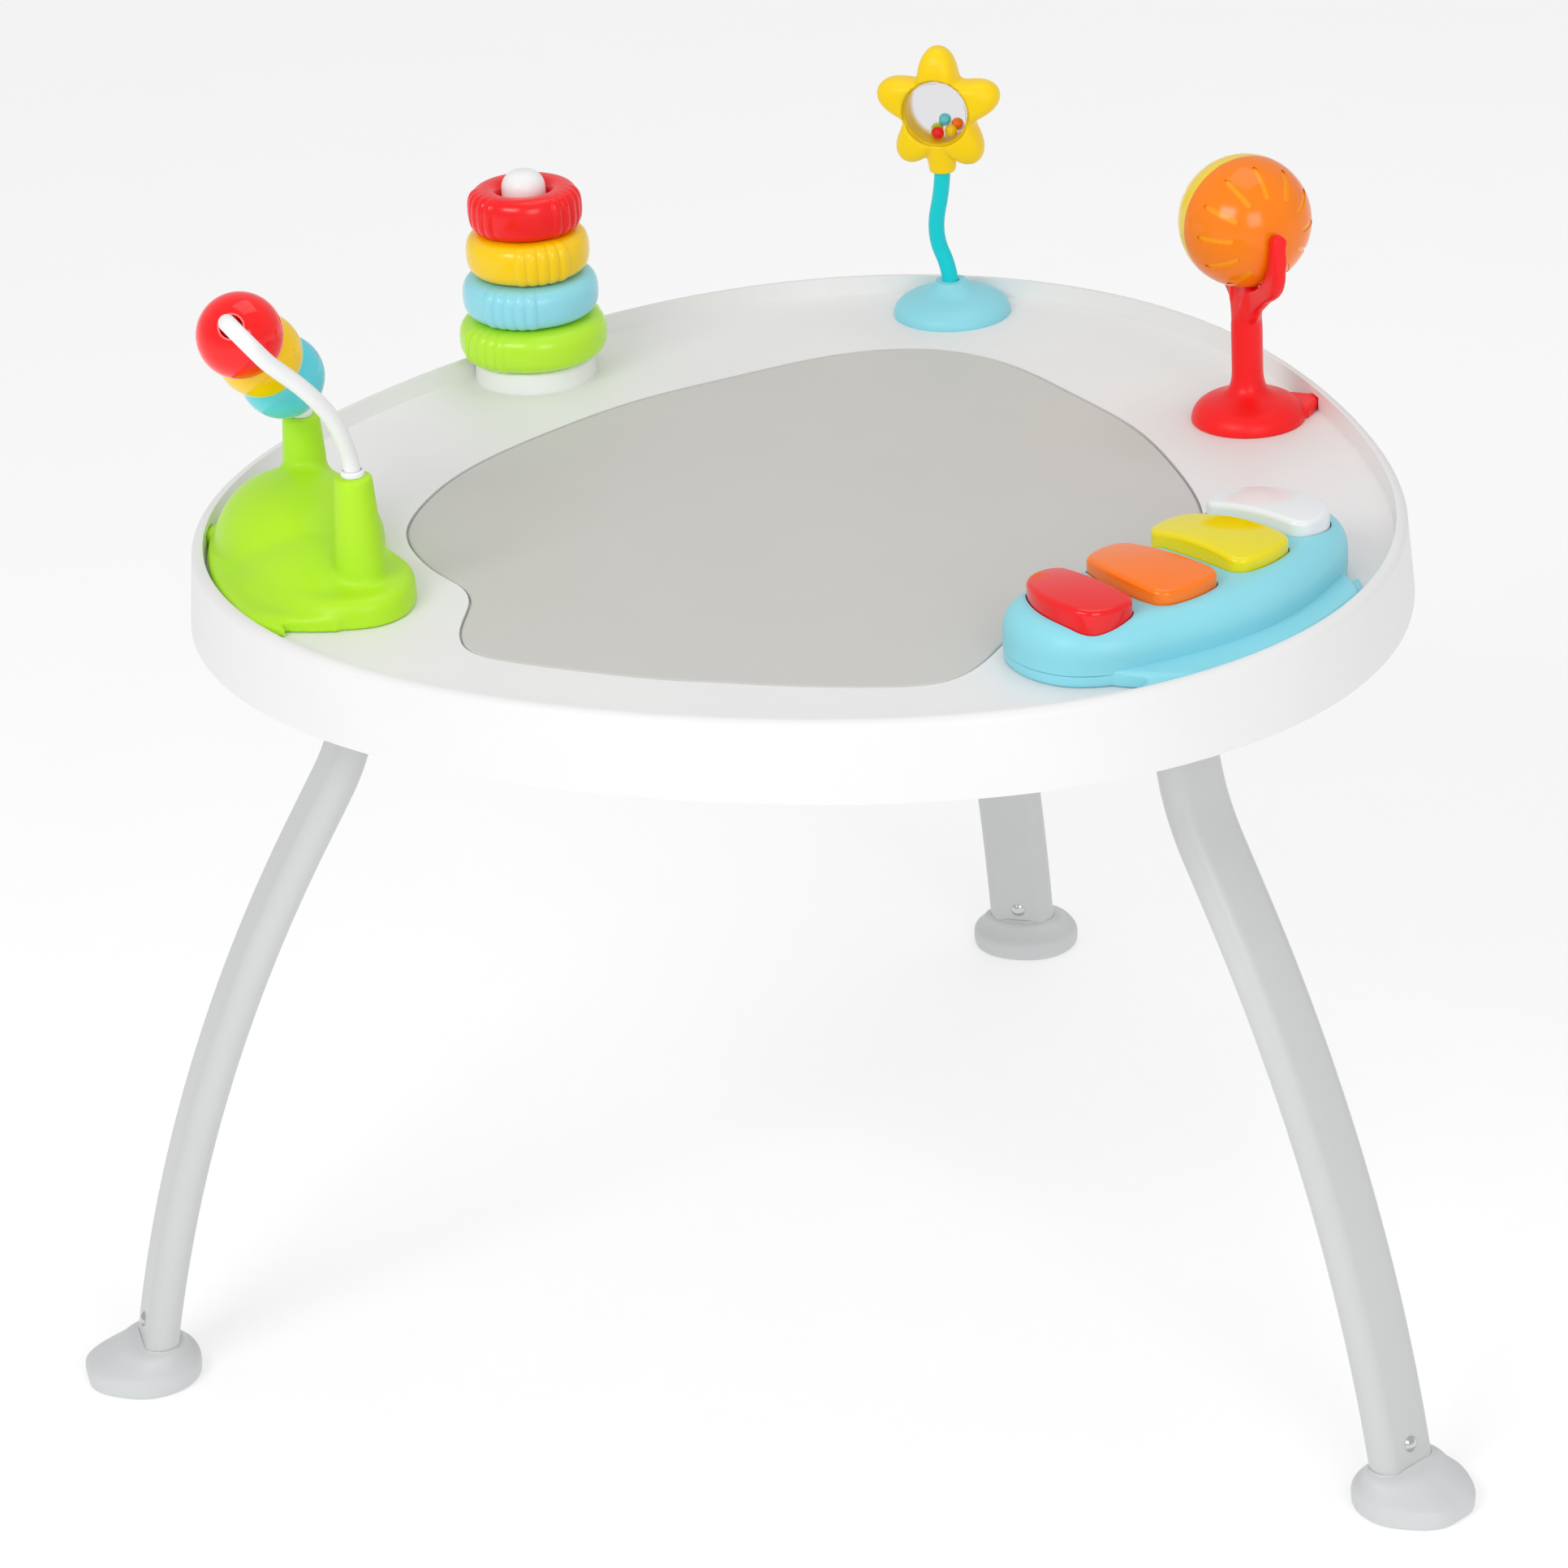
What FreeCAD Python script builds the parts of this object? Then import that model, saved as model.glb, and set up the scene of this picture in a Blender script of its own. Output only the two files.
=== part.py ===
# Activity jumper: a rounded three-cornered tray on three flat-oval steel legs, with a lift-out
# centre cover and five toys (bead arch, ring stacker, star on a stalk, spinner ball, piano).
# Millimetres.  X to the right, Y to the back, Z up; the legs stand on one circle about Z.
import FreeCAD, Part
import math
import os

V = FreeCAD.Vector
UP = V(0, 0, 1)

# ---------------------------------------------------------------- driving dimensions
LEG_CIRCLE_SHIFT = -65.25         # Y shift that puts the origin under the middle of the whole toy

TRAY_R = 340.0                    # mean radius of the tray
TRAY_WAVES = (0.0293, 0.0082, -0.0519)
RIM_Z = 501.0
SURFACE_Z = 490.0
SKIRT_Z = 456.0
SKIRT_FLARE = 1.0116
WALL = 3.0
PLATE = 4.0
LIP = 7.5                         # width of the raised rim at the tray surface
NOTCH = 4.6                       # how far a toy tab reaches into the rim

COVER_T = 3.4
COVER_GAP = 1.2
LEDGE = 12.0

LEG_AZ = {"left": -150.0, "right": -30.0, "back": 90.0}
LEG_R = 275.4                     # the upper, upright part of a leg
LEG_TOP = 478.0
TUBE_W, TUBE_T, TUBE_WALL = 42.0, 20.0, 1.5
BEND_Z = 431.7
BEND_R, BEND_ANGLE = 144.0, 30.1
STRAIGHT = 35.6
SWEEP_R, FOOT_ANGLE = 957.0, 9.2
FOOT_TOP = 24.0
RIVET_Z = 34.0
BUTTON_Z = 468.0

STACK_R, STACK_AZ = 283.2, 142.9
RING_DIAMETERS = {"lime": 89.0, "blue": 81.8, "yellow": 74.2, "red": 66.0}
RING_RIBS_AZ = {"lime": (-118, 62), "blue": (-91, 89), "yellow": (-57, 123), "red": (-10.5, -139)}
RING_PITCH, RING_H, RING_HOLE = 26.6, 26.3, 14.3
RING_Z0 = 503.3
POST_R, POST_TOP = 13.2, 620.0

STAR_R, STAR_AZ = 311.0, 90.0
STALK_X = -1.5
STAR_CENTRE = V(-4.4, 309.0, 621.2)
STAR_WAVES = (32.2, 7.9, -0.5)
STAR_HALF = 11.5
WINDOW_SEAT = 8.0                 # half the distance between the seats of the two domed windows
RATTLE_BEAD_R = 3.8

BALL_R, BALL_STATION, BALL_AZ = 38.5, 267.6, 36.7
BALL_Z = 612.0
FORK_R, ARM_W = 44.6, 8.6

BEAD_AZ = -150.0
BEAD_R, BEAD_PITCH, BEAD_BORE = 23.8, 46.0, 6.5
WIRE_R = 4.75
ARCH_R = 700.0                    # curvature of the stretch that carries the beads
ARCH_MID = V(317.2, 19.4, 629.1)
ARCH_DIR = V(0.338, 0.751, 0.567)
ARCH_LEAN = V(0.131, 0.932, 0.338)
TIP_S, TIP_R = 80.0, 12.0
TIP_DROP = V(-0.563, -0.278, -0.778)
POST_FRONT = V(277.9, 60.5, 0)
POST_REAR = V(288.1, -42.5, 0)
POST_Z = 567.5

PIANO_AZ = -30.0
PIANO_TOP = 523.0
PIANO_SEAM = 497.0
KEY_TOP = 534.0
KEY_TRAVEL = 3.5
KEY_GAP = 0.6


# ---------------------------------------------------------------- small helpers
def turned(shape, az):
    out = shape.copy()
    out.rotate(V(0, 0, 0), UP, az)
    return out


def at_station(shape, radius, az):
    out = shape.copy()
    out.translate(V(radius, 0, 0))
    return turned(out, az)


def closed_curve(points):
    curve = Part.BSplineCurve()
    curve.interpolate(Points=points, PeriodicFlag=True)
    return Part.Wire([curve.toShape()])


def rounded_route(points):
    """Edges of straight runs joined by tangent arcs, each as large as its two runs allow."""
    edges, start = [], points[0]
    for before, corner, after in zip(points, points[1:], points[2:]):
        u, v = before - corner, after - corner
        reach = 0.45 * min(u.Length, v.Length)
        u.normalize()
        v.normalize()
        half = u.getAngle(v) / 2
        mid = corner + (u + v).normalize() * reach * (1 / math.cos(half) - math.tan(half))
        edges.append(Part.makeLine(start, corner + u * reach))
        edges.append(Part.Arc(corner + u * reach, mid, corner + v * reach).toShape())
        start = corner + v * reach
    return edges + [Part.makeLine(start, points[-1])]


def tube_along(edges, radius):
    wire = Part.Wire(edges)
    start = edges[0].Vertexes[0].Point
    ring = Part.Wire([Part.makeCircle(radius, start, edges[0].Vertexes[1].Point - start)])
    return wire.makePipeShell([ring], True, False)


def cylinder(radius, z0, z1, x=0.0, y=0.0):
    return Part.makeCylinder(radius, z1 - z0, V(x, y, z0))


def rod(radius, start, end):
    return Part.makeCylinder(radius, (end - start).Length, start, end - start)


def box(x0, x1, y0, y1, z0, z1):
    return Part.makeBox(x1 - x0, y1 - y0, z1 - z0, V(x0, y0, z0))


def prism(wire, z0, z1):
    base = wire.copy()
    base.translate(V(0, 0, z0))
    return Part.Face(base).extrude(V(0, 0, z1 - z0))


def edges_at(shape, z, tol=0.05):
    return [e for e in shape.Edges if abs(e.BoundBox.ZMin - z) < tol and abs(e.BoundBox.ZMax - z) < tol]


def upright_edges(shape):
    return [e for e in shape.Edges if e.BoundBox.ZLength > 0.5]


def revolve_profile(points):
    """Turn a smooth (radius, height) profile about Z; the profile is closed along the axis."""
    pts = [V(r, 0, z) for r, z in points]
    curve = Part.BSplineCurve()
    curve.interpolate(Points=pts)
    foot = V(0, 0, pts[0].z)
    head = V(0, 0, pts[-1].z)
    edges = [curve.toShape(), Part.makeLine(pts[-1], head), Part.makeLine(head, foot)]
    edges.append(Part.makeLine(foot, pts[0]))
    face = Part.Face(Part.Wire(edges))
    return face.revolve(V(0, 0, 0), UP, 360)


def mirrored_outline(half):
    """Close a half outline by mirroring it in its second coordinate; ends lie on the axis."""
    back = [(a, -b) for a, b in reversed(half[1:-1])]
    return list(half) + back


def inset_points(points, inset):
    area = sum(p[0] * q[1] - q[0] * p[1] for p, q in zip(points, points[1:] + points[:1]))
    sign = 1.0 if area > 0 else -1.0
    out = []
    for k, p in enumerate(points):
        q, s = points[k - 1], points[(k + 1) % len(points)]
        tx, ty = s[0] - q[0], s[1] - q[1]
        length = math.hypot(tx, ty)
        out.append((p[0] - sign * ty / length * inset, p[1] + sign * tx / length * inset))
    return out


def outline_wire(points, inset=0.0, z=0.0):
    return closed_curve([V(x, y, z) for x, y in inset_points(points, inset)])


def screw(shaft_r, length, head_r, head_h):
    """Pan-head screw pointing up, its head resting under z = 0."""
    head = cylinder(head_r, -head_h, 0)
    head = head.makeFillet(head_h * 0.4, edges_at(head, -head_h))
    slot = box(-0.4, 0.4, -head_r * 0.6, head_r * 0.6, -head_h - 1, -head_h * 0.55)
    return head.fuse(cylinder(shaft_r, 0, length)).cut(slot)


# ---------------------------------------------------------------- tray and cover
def tray_radius(theta):
    a, b, c = TRAY_WAVES
    return TRAY_R * (1 + a * math.cos(theta) + b * math.cos(2 * theta) + c * math.cos(3 * theta))


def tray_wire(z, inset=0.0, flare=1.0, steps=24):
    points = []
    for k in range(steps):
        theta = 2 * math.pi * k / steps
        r = (tray_radius(theta) - inset) * flare
        points.append(V(r * math.sin(theta), -r * math.cos(theta), z))
    return closed_curve(points)


def wall_u(az, v):
    """Distance along a toy's own radial line to the inside of the rim, at side offset v."""
    u = TRAY_R
    for _ in range(8):
        theta = math.radians(az + 90.0) + math.atan2(v, u)
        u = math.sqrt((tray_radius(theta) - LIP) ** 2 - v * v)
    return u


TABS = [(STACK_AZ, 0.0, 22.0), (STAR_AZ, 8.0, 20.0), (BALL_AZ, 0.0, 18.0)]
TABS += [(BEAD_AZ, -62.0, 30.0), (BEAD_AZ, 62.0, 30.0), (PIANO_AZ, -60.0, 30.0), (PIANO_AZ, 66.0, 30.0)]


def tab(az, v, width, reach, z1, clearance=0.0):
    """A tapered tongue pointing outward into the rim; given clearance it is the notch for it."""
    u = wall_u(az, v) + NOTCH + clearance
    tip, root = width * 0.28 + clearance, width * 0.28 + clearance + reach * 0.75
    corners = [(u - reach, -root), (u - 3, -tip), (u, -tip + 3), (u, tip - 3), (u - 3, tip), (u - reach, root)]
    outline = Part.makePolygon([V(a, v + b, 0) for a, b in corners + corners[:1]])
    return turned(prism(outline, SURFACE_Z + 0.2 - clearance, z1 + clearance), az)


COVER_HALF = [(-261.7, 0.0), (-259.6, 51.5), (-253.5, 98.9), (-241.1, 131.9), (-222.5, 143.2)]
COVER_HALF += [(-194.7, 149.4), (-172.0, 154.5), (-158.0, 163.0), (-142.0, 181.0), (-121.6, 200.0)]
COVER_HALF += [(-85.5, 220.5), (-46.4, 225.6), (9.3, 218.4), (77.3, 188.5), (139.0, 148.4)]
COVER_HALF += [(185.5, 102.0), (229.8, 49.5), (245.2, 0.0)]


def cover_wire(inset):
    points = [(x, y) for y, x in mirrored_outline(COVER_HALF)]
    return outline_wire(points, inset)


def tray_shell():
    body = Part.makeLoft([tray_wire(SKIRT_Z, 0, SKIRT_FLARE), tray_wire(RIM_Z)], True, True)
    body = body.makeFillet(4.8, edges_at(body, RIM_Z))
    ledge_z = SURFACE_Z - COVER_T - 0.1
    under_wires = [tray_wire(SKIRT_Z - 1, WALL, SKIRT_FLARE), tray_wire(SURFACE_Z - PLATE, WALL)]
    under = Part.makeLoft(under_wires, True, True)
    under = under.cut(prism(cover_wire(-5.0), ledge_z - 4.0, SURFACE_Z))
    tools = [under, Part.makeLoft([tray_wire(SURFACE_Z, LIP), tray_wire(RIM_Z + 2, LIP - 1.6)], True, True)]
    tools.append(prism(cover_wire(LEDGE), SKIRT_Z, RIM_Z))
    tools.append(prism(cover_wire(-COVER_GAP), ledge_z, RIM_Z))
    tools += [tab(az, v, width, 12.0, RIM_Z - 4.0, 0.35) for az, v, width in TABS]
    tools += [cylinder(2.1, SURFACE_Z - PLATE - 1, SURFACE_Z + 1, x, y) for x, y, depth in fastener_points()]
    for az in LEG_AZ.values():
        for x, y in polar_points(az, SOCKET_SCREWS):
            tools.append(cylinder(2.05, SURFACE_Z - PLATE - 1, SURFACE_Z - 0.8, x, y))
    return body.cut(tools)


def tray_cover():
    plate = prism(cover_wire(0.0), SURFACE_Z - COVER_T, SURFACE_Z)
    plate = plate.makeFillet(1.4, edges_at(plate, SURFACE_Z))
    skirt_z = SURFACE_Z - COVER_T - 9.0
    skirt = prism(cover_wire(LEDGE + 1.0), skirt_z, SURFACE_Z - 1.5)
    skirt = skirt.cut(prism(cover_wire(LEDGE + 3.5), skirt_z - 1, SURFACE_Z - COVER_T))
    return plate.fuse(skirt).removeSplitter()


# ---------------------------------------------------------------- legs, sockets and feet
def leg_path(z_top):
    """Centreline in the radial plane: upright, bent outward, then easing back toward upright."""
    a, b = math.radians(BEND_ANGLE), math.radians(FOOT_ANGLE)
    p1 = V(LEG_R, 0, BEND_Z)
    half = a / 2
    mid = p1 + V(BEND_R * (1 - math.cos(half)), 0, -BEND_R * math.sin(half))
    p2 = p1 + V(BEND_R * (1 - math.cos(a)), 0, -BEND_R * math.sin(a))
    p3 = p2 + V(math.sin(a), 0, -math.cos(a)) * STRAIGHT
    centre = p3 - V(math.cos(a), 0, math.sin(a)) * SWEEP_R
    m = (a + b) / 2
    mid2 = centre + V(math.cos(m), 0, math.sin(m)) * SWEEP_R
    p4 = centre + V(math.cos(b), 0, math.sin(b)) * SWEEP_R
    edges = [Part.makeLine(V(LEG_R, 0, z_top), p1), Part.Arc(p1, mid, p2).toShape()]
    edges += [Part.makeLine(p2, p3), Part.Arc(p3, mid2, p4).toShape()]
    return Part.Wire(edges)


def stadium(width, thickness, centre):
    """Flat oval lying in a level plane, wide across the radial direction."""
    r, h = thickness / 2, (width - thickness) / 2
    x, z = centre.x, centre.z
    edges = [Part.makeLine(V(x + r, -h, z), V(x + r, h, z))]
    edges.append(Part.Arc(V(x + r, h, z), V(x, h + r, z), V(x - r, h, z)).toShape())
    edges.append(Part.makeLine(V(x - r, h, z), V(x - r, -h, z)))
    edges.append(Part.Arc(V(x - r, -h, z), V(x, -h - r, z), V(x + r, -h, z)).toShape())
    return Part.Wire(edges)


def swept_oval(grow, z_top):
    profile = stadium(TUBE_W + 2 * grow, TUBE_T + 2 * grow, V(LEG_R, 0, z_top))
    return leg_path(z_top).makePipeShell([profile], True, False)


def foot_line(z):
    """Centreline point of the leg close above the floor."""
    a = math.radians(FOOT_ANGLE)
    foot = leg_path(LEG_TOP).Vertexes[-1].Point
    return foot + V(-math.tan(a + (z - foot.z) / SWEEP_R / 2), 0, 1) * (z - foot.z)


def rivet_axis():
    a = math.radians(FOOT_ANGLE) + RIVET_Z / SWEEP_R
    return foot_line(RIVET_Z), V(math.cos(a), 0, math.sin(a))


def rivet(shaft_r, head_r):
    centre, axis = rivet_axis()
    reach = axis * (TUBE_T / 2 + 0.02)
    body = rod(shaft_r, centre - reach, centre + reach)
    for side in (-1, 1):
        seat = centre + reach * side
        dome_r = 5.9
        ball = Part.makeSphere(dome_r, seat - axis * side * (dome_r - 2.3))
        body = body.fuse(ball.common(rod(head_r, seat, seat + axis * side * 4)))
    return body


def button_rod(radius, u0, u1):
    return rod(radius, V(u0, 0, BUTTON_Z), V(u1, 0, BUTTON_Z))


def leg_tube():
    tube = swept_oval(0.0, LEG_TOP).cut(swept_oval(-TUBE_WALL, LEG_TOP + 0.5))
    tube = tube.cut(box(300, 600, -60, 60, -20, 6.1))
    centre, axis = rivet_axis()
    tube = tube.cut(rod(2.6, centre - axis * 16, centre + axis * 16))
    return tube.cut(button_rod(3.6, LEG_R, LEG_R + 20))


def superellipse(a, b, n, phi):
    return (abs(math.cos(phi) / a) ** n + abs(math.sin(phi) / b) ** n) ** (-1.0 / n)


def hoof_reach(phi):
    """Plan outline of the foot: broad and round on the inside, narrowing to a flat outer end."""
    taper = 34.5 - 13.0 * max(0.0, math.cos(phi)) ** 1.5
    return superellipse(33.8, taper, 2.2 + 1.2 * max(0.0, math.cos(phi)), phi)


def foot_section(z, scale, blend):
    """Hoof shaped near the floor, flat oval at the collar, with straight blending between."""
    line = foot_line(z)
    points = []
    for k in range(24):
        phi = 2 * math.pi * (k + 0.5) / 24
        collar = superellipse(TUBE_T / 2 + 0.9, TUBE_W / 2 + 0.9, 2.6, phi)
        cx = 435.8 * (1 - blend) + line.x * blend
        r = hoof_reach(phi) * scale * (1 - blend) + collar * blend
        points.append(V(cx + r * math.cos(phi), r * math.sin(phi), z))
    return closed_curve(points)


def foot():
    steps = [(0, 0.92, 0.0), (2.0, 0.985, 0.0), (6.0, 1.0, 0.0), (10.5, 0.995, 0.02)]
    steps += [(14.0, 0.98, 0.2), (18.5, 0.98, 0.53), (22.5, 0.98, 0.85), (FOOT_TOP, 0.98, 1.0)]
    boot = Part.makeLoft([foot_section(*s) for s in steps], True, False)
    boot = boot.cut(swept_oval(0.12, LEG_TOP).cut(box(300, 600, -60, 60, -20, 6.0)))
    plug = swept_oval(-TUBE_WALL - 0.12, LEG_TOP).common(box(300, 600, -60, 60, 4.0, 46.0))
    centre, axis = rivet_axis()
    return boot.fuse(plug).cut(rod(2.6, centre - axis * 16, centre + axis * 16))


def leg_socket():
    block = box(LEG_R - 17, LEG_R + 17, -28, 28, 458, SURFACE_Z - PLATE)
    block = block.makeFillet(10, long_edges(block, 28.0))
    flange = box(LEG_R - 25, LEG_R + 25, -38, 38, SURFACE_Z - PLATE - 3, SURFACE_Z - PLATE)
    flange = flange.makeFillet(8, long_edges(flange, 3.0))
    hole = prism(stadium(TUBE_W + 0.2, TUBE_T + 0.2, V(LEG_R, 0, 0)), 450, LEG_TOP + 0.1)
    body = block.fuse(flange).cut(hole)
    for x, y in SOCKET_SCREWS:
        body = body.cut(cylinder(2.1, 470, SURFACE_Z, x, y))
    return body.cut(button_rod(3.6, LEG_R, LEG_R + 30))


def long_edges(shape, length):
    return [e for e in shape.Edges if abs(e.BoundBox.ZLength - length) < 0.01 and e.BoundBox.XLength < 0.01
            and e.BoundBox.YLength < 0.01]


def lock_button():
    inner = LEG_R + TUBE_T / 2 - TUBE_WALL
    body = button_rod(3.5, inner - 3.0, LEG_R + 21.0)
    body = body.makeFillet(1.6, [e for e in body.Edges if abs(e.BoundBox.XMin - (LEG_R + 21.0)) < 0.01])
    return body.fuse(button_rod(6.0, inner - 2.3, inner - 0.3))


SOCKET_SCREWS = [(LEG_R + sx * 19.0, sy * 33.0) for sx in (-1, 1) for sy in (-1, 1)]
TOY_SCREWS = {BEAD_AZ: [(290, 76), (300, -62)], PIANO_AZ: [(268, -100), (268, 106)],
              STAR_AZ: [(STAR_R, -18), (STAR_R, 18)], STACK_AZ: [(STACK_R, -22), (STACK_R, 22)],
              BALL_AZ: [(BALL_STATION, -20), (BALL_STATION, 20)]}


def polar_points(az, pairs):
    a = math.radians(az)
    return [(x * math.cos(a) - y * math.sin(a), x * math.sin(a) + y * math.cos(a)) for x, y in pairs]


def fastener_points():
    """Plan position of every screw that passes up through the tray plate."""
    points = []
    for az, pairs in TOY_SCREWS.items():
        points += [(x, y, 8.0) for x, y in polar_points(az, pairs)]
    return points


def toy_screws():
    z = SURFACE_Z - PLATE
    parts = []
    for x, y, depth in fastener_points():
        one = screw(2.0, PLATE + depth - 2.0, 3.8, 2.4)
        one.translate(V(x, y, z))
        parts.append(one)
    return Part.makeCompound(parts)


def screw_holes(shape, az):
    for x, y in polar_points(az, TOY_SCREWS[az]):
        shape = shape.cut(cylinder(2.05, SURFACE_Z - 1, SURFACE_Z + 8.5, x, y))
    return shape


def socket_screws():
    parts = []
    for az in LEG_AZ.values():
        for x, y in polar_points(az, SOCKET_SCREWS):
            one = screw(2.0, 6.0, 3.8, 2.4)
            one.translate(V(x, y, SURFACE_Z - PLATE - 3.0))
            parts.append(one)
    return Part.makeCompound(parts)


# ---------------------------------------------------------------- ring stacker
def inside_rim():
    return prism(tray_wire(0, LIP + 0.25), SURFACE_Z - 5, RIM_Z + 60)


def stacker_base():
    disc = Part.makeCone(36.6, 36.0, RING_Z0 - 0.3 - SURFACE_Z, V(0, 0, SURFACE_Z))
    disc = disc.makeFillet(3.0, edges_at(disc, RING_Z0 - 0.3))
    disc = at_station(disc, STACK_R, STACK_AZ).common(inside_rim())
    az, v, width = TABS[0]
    disc = disc.fuse(tab(az, v, width, 30.0, RIM_Z - 4.4))
    return screw_holes(disc, STACK_AZ).cut(at_station(cylinder(POST_R - 1.95, 489, 510), STACK_R, STACK_AZ))


def stacker_post():
    top = POST_TOP - POST_R * 0.8
    wall = Part.makeCylinder(POST_R, top - RING_Z0 + 0.3, V(0, 0, RING_Z0 - 0.3))
    dome = Part.makeSphere(POST_R).common(cylinder(POST_R + 1, 0, POST_R + 1))
    squash = FreeCAD.Matrix()
    squash.scale(1.0, 1.0, 0.8)
    dome = dome.transformGeometry(squash)
    dome.translate(V(0, 0, top))
    spigot = cylinder(POST_R - 2.0, SURFACE_Z + 0.2, RING_Z0 + 2)
    return at_station(wall.fuse(dome).fuse(spigot).cut(cylinder(POST_R - 4.0, 480, top - 2)), STACK_R, STACK_AZ)


def ring_profile(outer, grow, z):
    """Plump ring section: round outside, softly rounded hole edge."""
    h = RING_H / 2
    r = outer / 2 + grow
    bulge = h + grow
    shoulder = r - bulge * 0.86
    pts = [V(RING_HOLE, 0, z - h + 3.5), V(RING_HOLE, 0, z + h - 3.5)]
    lip = Part.Arc(pts[1], V(RING_HOLE + 1.0, 0, z + h - 1.0), V(RING_HOLE + 3.6, 0, z + h)).toShape()
    lip2 = Part.Arc(V(RING_HOLE + 3.6, 0, z - h), V(RING_HOLE + 1.0, 0, z - h + 1.0), pts[0]).toShape()
    top = Part.makeLine(V(RING_HOLE + 3.6, 0, z + h), V(shoulder, 0, z + bulge))
    bottom = Part.makeLine(V(shoulder, 0, z - bulge), V(RING_HOLE + 3.6, 0, z - h))
    ends = [V(shoulder, 0, z + bulge), V(r - bulge * 0.19, 0, z + bulge * 0.7), V(r, 0, z)]
    side = Part.BSplineCurve()
    side.interpolate(Points=ends + [V(p.x, 0, 2 * z - p.z) for p in reversed(ends[:-1])])
    edges = [Part.makeLine(pts[0], pts[1]), lip, top, side.toShape(), bottom, lip2]
    return Part.Face(Part.Wire(edges))


def ring_halves(name, index):
    z = RING_Z0 + RING_PITCH * index + RING_H / 2
    outer = RING_DIAMETERS[name]
    body = ring_profile(outer, 0.0, z).revolve(V(0, 0, 0), UP, 360)
    proud = ring_profile(outer, 1.1, z).revolve(V(0, 0, 0), UP, 360)
    pitch = math.degrees(7.0 / (outer / 2))
    ribs = []
    for az in RING_RIBS_AZ[name]:
        for k in range(-2, 3):
            rib = cylinder(3.0, z - RING_H * 0.4, z + RING_H * 0.4, outer / 2 - 1.8, 0)
            ribs.append(turned(rib, az - STACK_AZ + k * pitch))
    body = body.fuse(proud.common(Part.makeCompound(ribs)))
    seam = z - 4.5
    big = outer
    groove = cylinder(big, seam - 0.14, seam + 0.14).cut(cylinder(outer / 2 - 0.9, seam - 1, seam + 1))
    body = body.cut(groove)
    upper = body.common(cylinder(big, seam, z + 40))
    lower = body.common(cylinder(big, z - 40, seam - 0.02))
    return at_station(lower, STACK_R, STACK_AZ), at_station(upper, STACK_R, STACK_AZ)


# ---------------------------------------------------------------- star on a stalk
def star_stalk():
    route = [(0, 0, 502), (0, 0, 520), (-9.6, -0.6, 542), (-2.2, -2.0, 573), (-2.2, -2.0, 588)]
    return tube_along(rounded_route([V(x + STALK_X, y + STAR_R, z) for x, y, z in route]), 4.9)


def star_base():
    profile = [(35.9, 0.0), (35.4, 3.8), (31.0, 8.8), (23.0, 12.4), (15.5, 15.2), (11.5, 18.6), (9.6, 21.0)]
    dome = revolve_profile([(r, SURFACE_Z + h) for r, h in profile])
    dome = at_station(dome, STAR_R, STAR_AZ)
    dome.translate(V(STALK_X, 0, 0))
    dome = dome.common(inside_rim())
    az, v, width = TABS[1]
    dome = dome.fuse(tab(az, v, width, 16.0, RIM_Z - 4.4))
    hole = cylinder(5.0, 501.5, 520, STALK_X, STAR_R)
    return screw_holes(dome.cut(hole), STAR_AZ)


def star_wire(scale, y):
    a, b, c = STAR_WAVES
    points = []
    for k in range(40):
        phi = 2 * math.pi * k / 40
        r = (a + b * math.cos(5 * phi) + c * math.cos(10 * phi)) * scale
        points.append(STAR_CENTRE + V(r * math.sin(phi), y, r * math.cos(phi)))
    return closed_curve(points)


def along_y(radius, y0, y1, x=0.0, z=0.0):
    start = STAR_CENTRE + V(x, y0, z)
    return rod(radius, start, STAR_CENTRE + V(x, y1, z))


def star_shells():
    steps = [(0.64, -STAR_HALF), (0.86, -9.4), (0.975, -5.2), (1.0, 0.0), (0.975, 5.2), (0.86, 9.4)]
    steps.append((0.64, STAR_HALF))
    body = Part.makeLoft([star_wire(s, y) for s, y in steps], True, False)
    neck_x = STALK_X - 2.2
    neck = Part.makeCone(8.0, 9.6, 14.0, V(neck_x, STAR_CENTRE.y, 582.0))
    body = body.fuse(neck).cut(cylinder(5.0, 570, 589, neck_x, STAR_CENTRE.y))
    body = body.cut(along_y(19.0, -40, 40)).cut(along_y(20.8, -40, -WINDOW_SEAT)).cut(along_y(20.8, WINDOW_SEAT, 40))
    front_half = box(-80, 80, STAR_CENTRE.y - 40, STAR_CENTRE.y - 0.01, 560, 680)
    back_half = box(-80, 80, STAR_CENTRE.y + 0.01, STAR_CENTRE.y + 40, 560, 680)
    return body.common(front_half), body.common(back_half)


def window_cap(side):
    """Clear domed cap with a flat rim that sits in its seat; side is -1 in front and 1 behind."""
    radius, crown = 20.6, 8.0
    foot = WINDOW_SEAT + 0.1
    dome_r = (radius * radius + crown * crown) / (2 * crown)
    centre = STAR_CENTRE + V(0, side * (foot + 2.0 + crown - dome_r), 0)
    cap = Part.makeSphere(dome_r, centre).cut(Part.makeSphere(dome_r - 1.6, centre))
    cap = cap.common(along_y(radius, side * (foot + 1.6), side * 40))
    rim = along_y(radius, side * foot, side * (foot + 2.2))
    return cap.fuse(rim.cut(along_y(radius - 1.9, side * 2, side * (foot + 3))))


def star_window():
    return Part.makeCompound([window_cap(-1), window_cap(1)])


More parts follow.
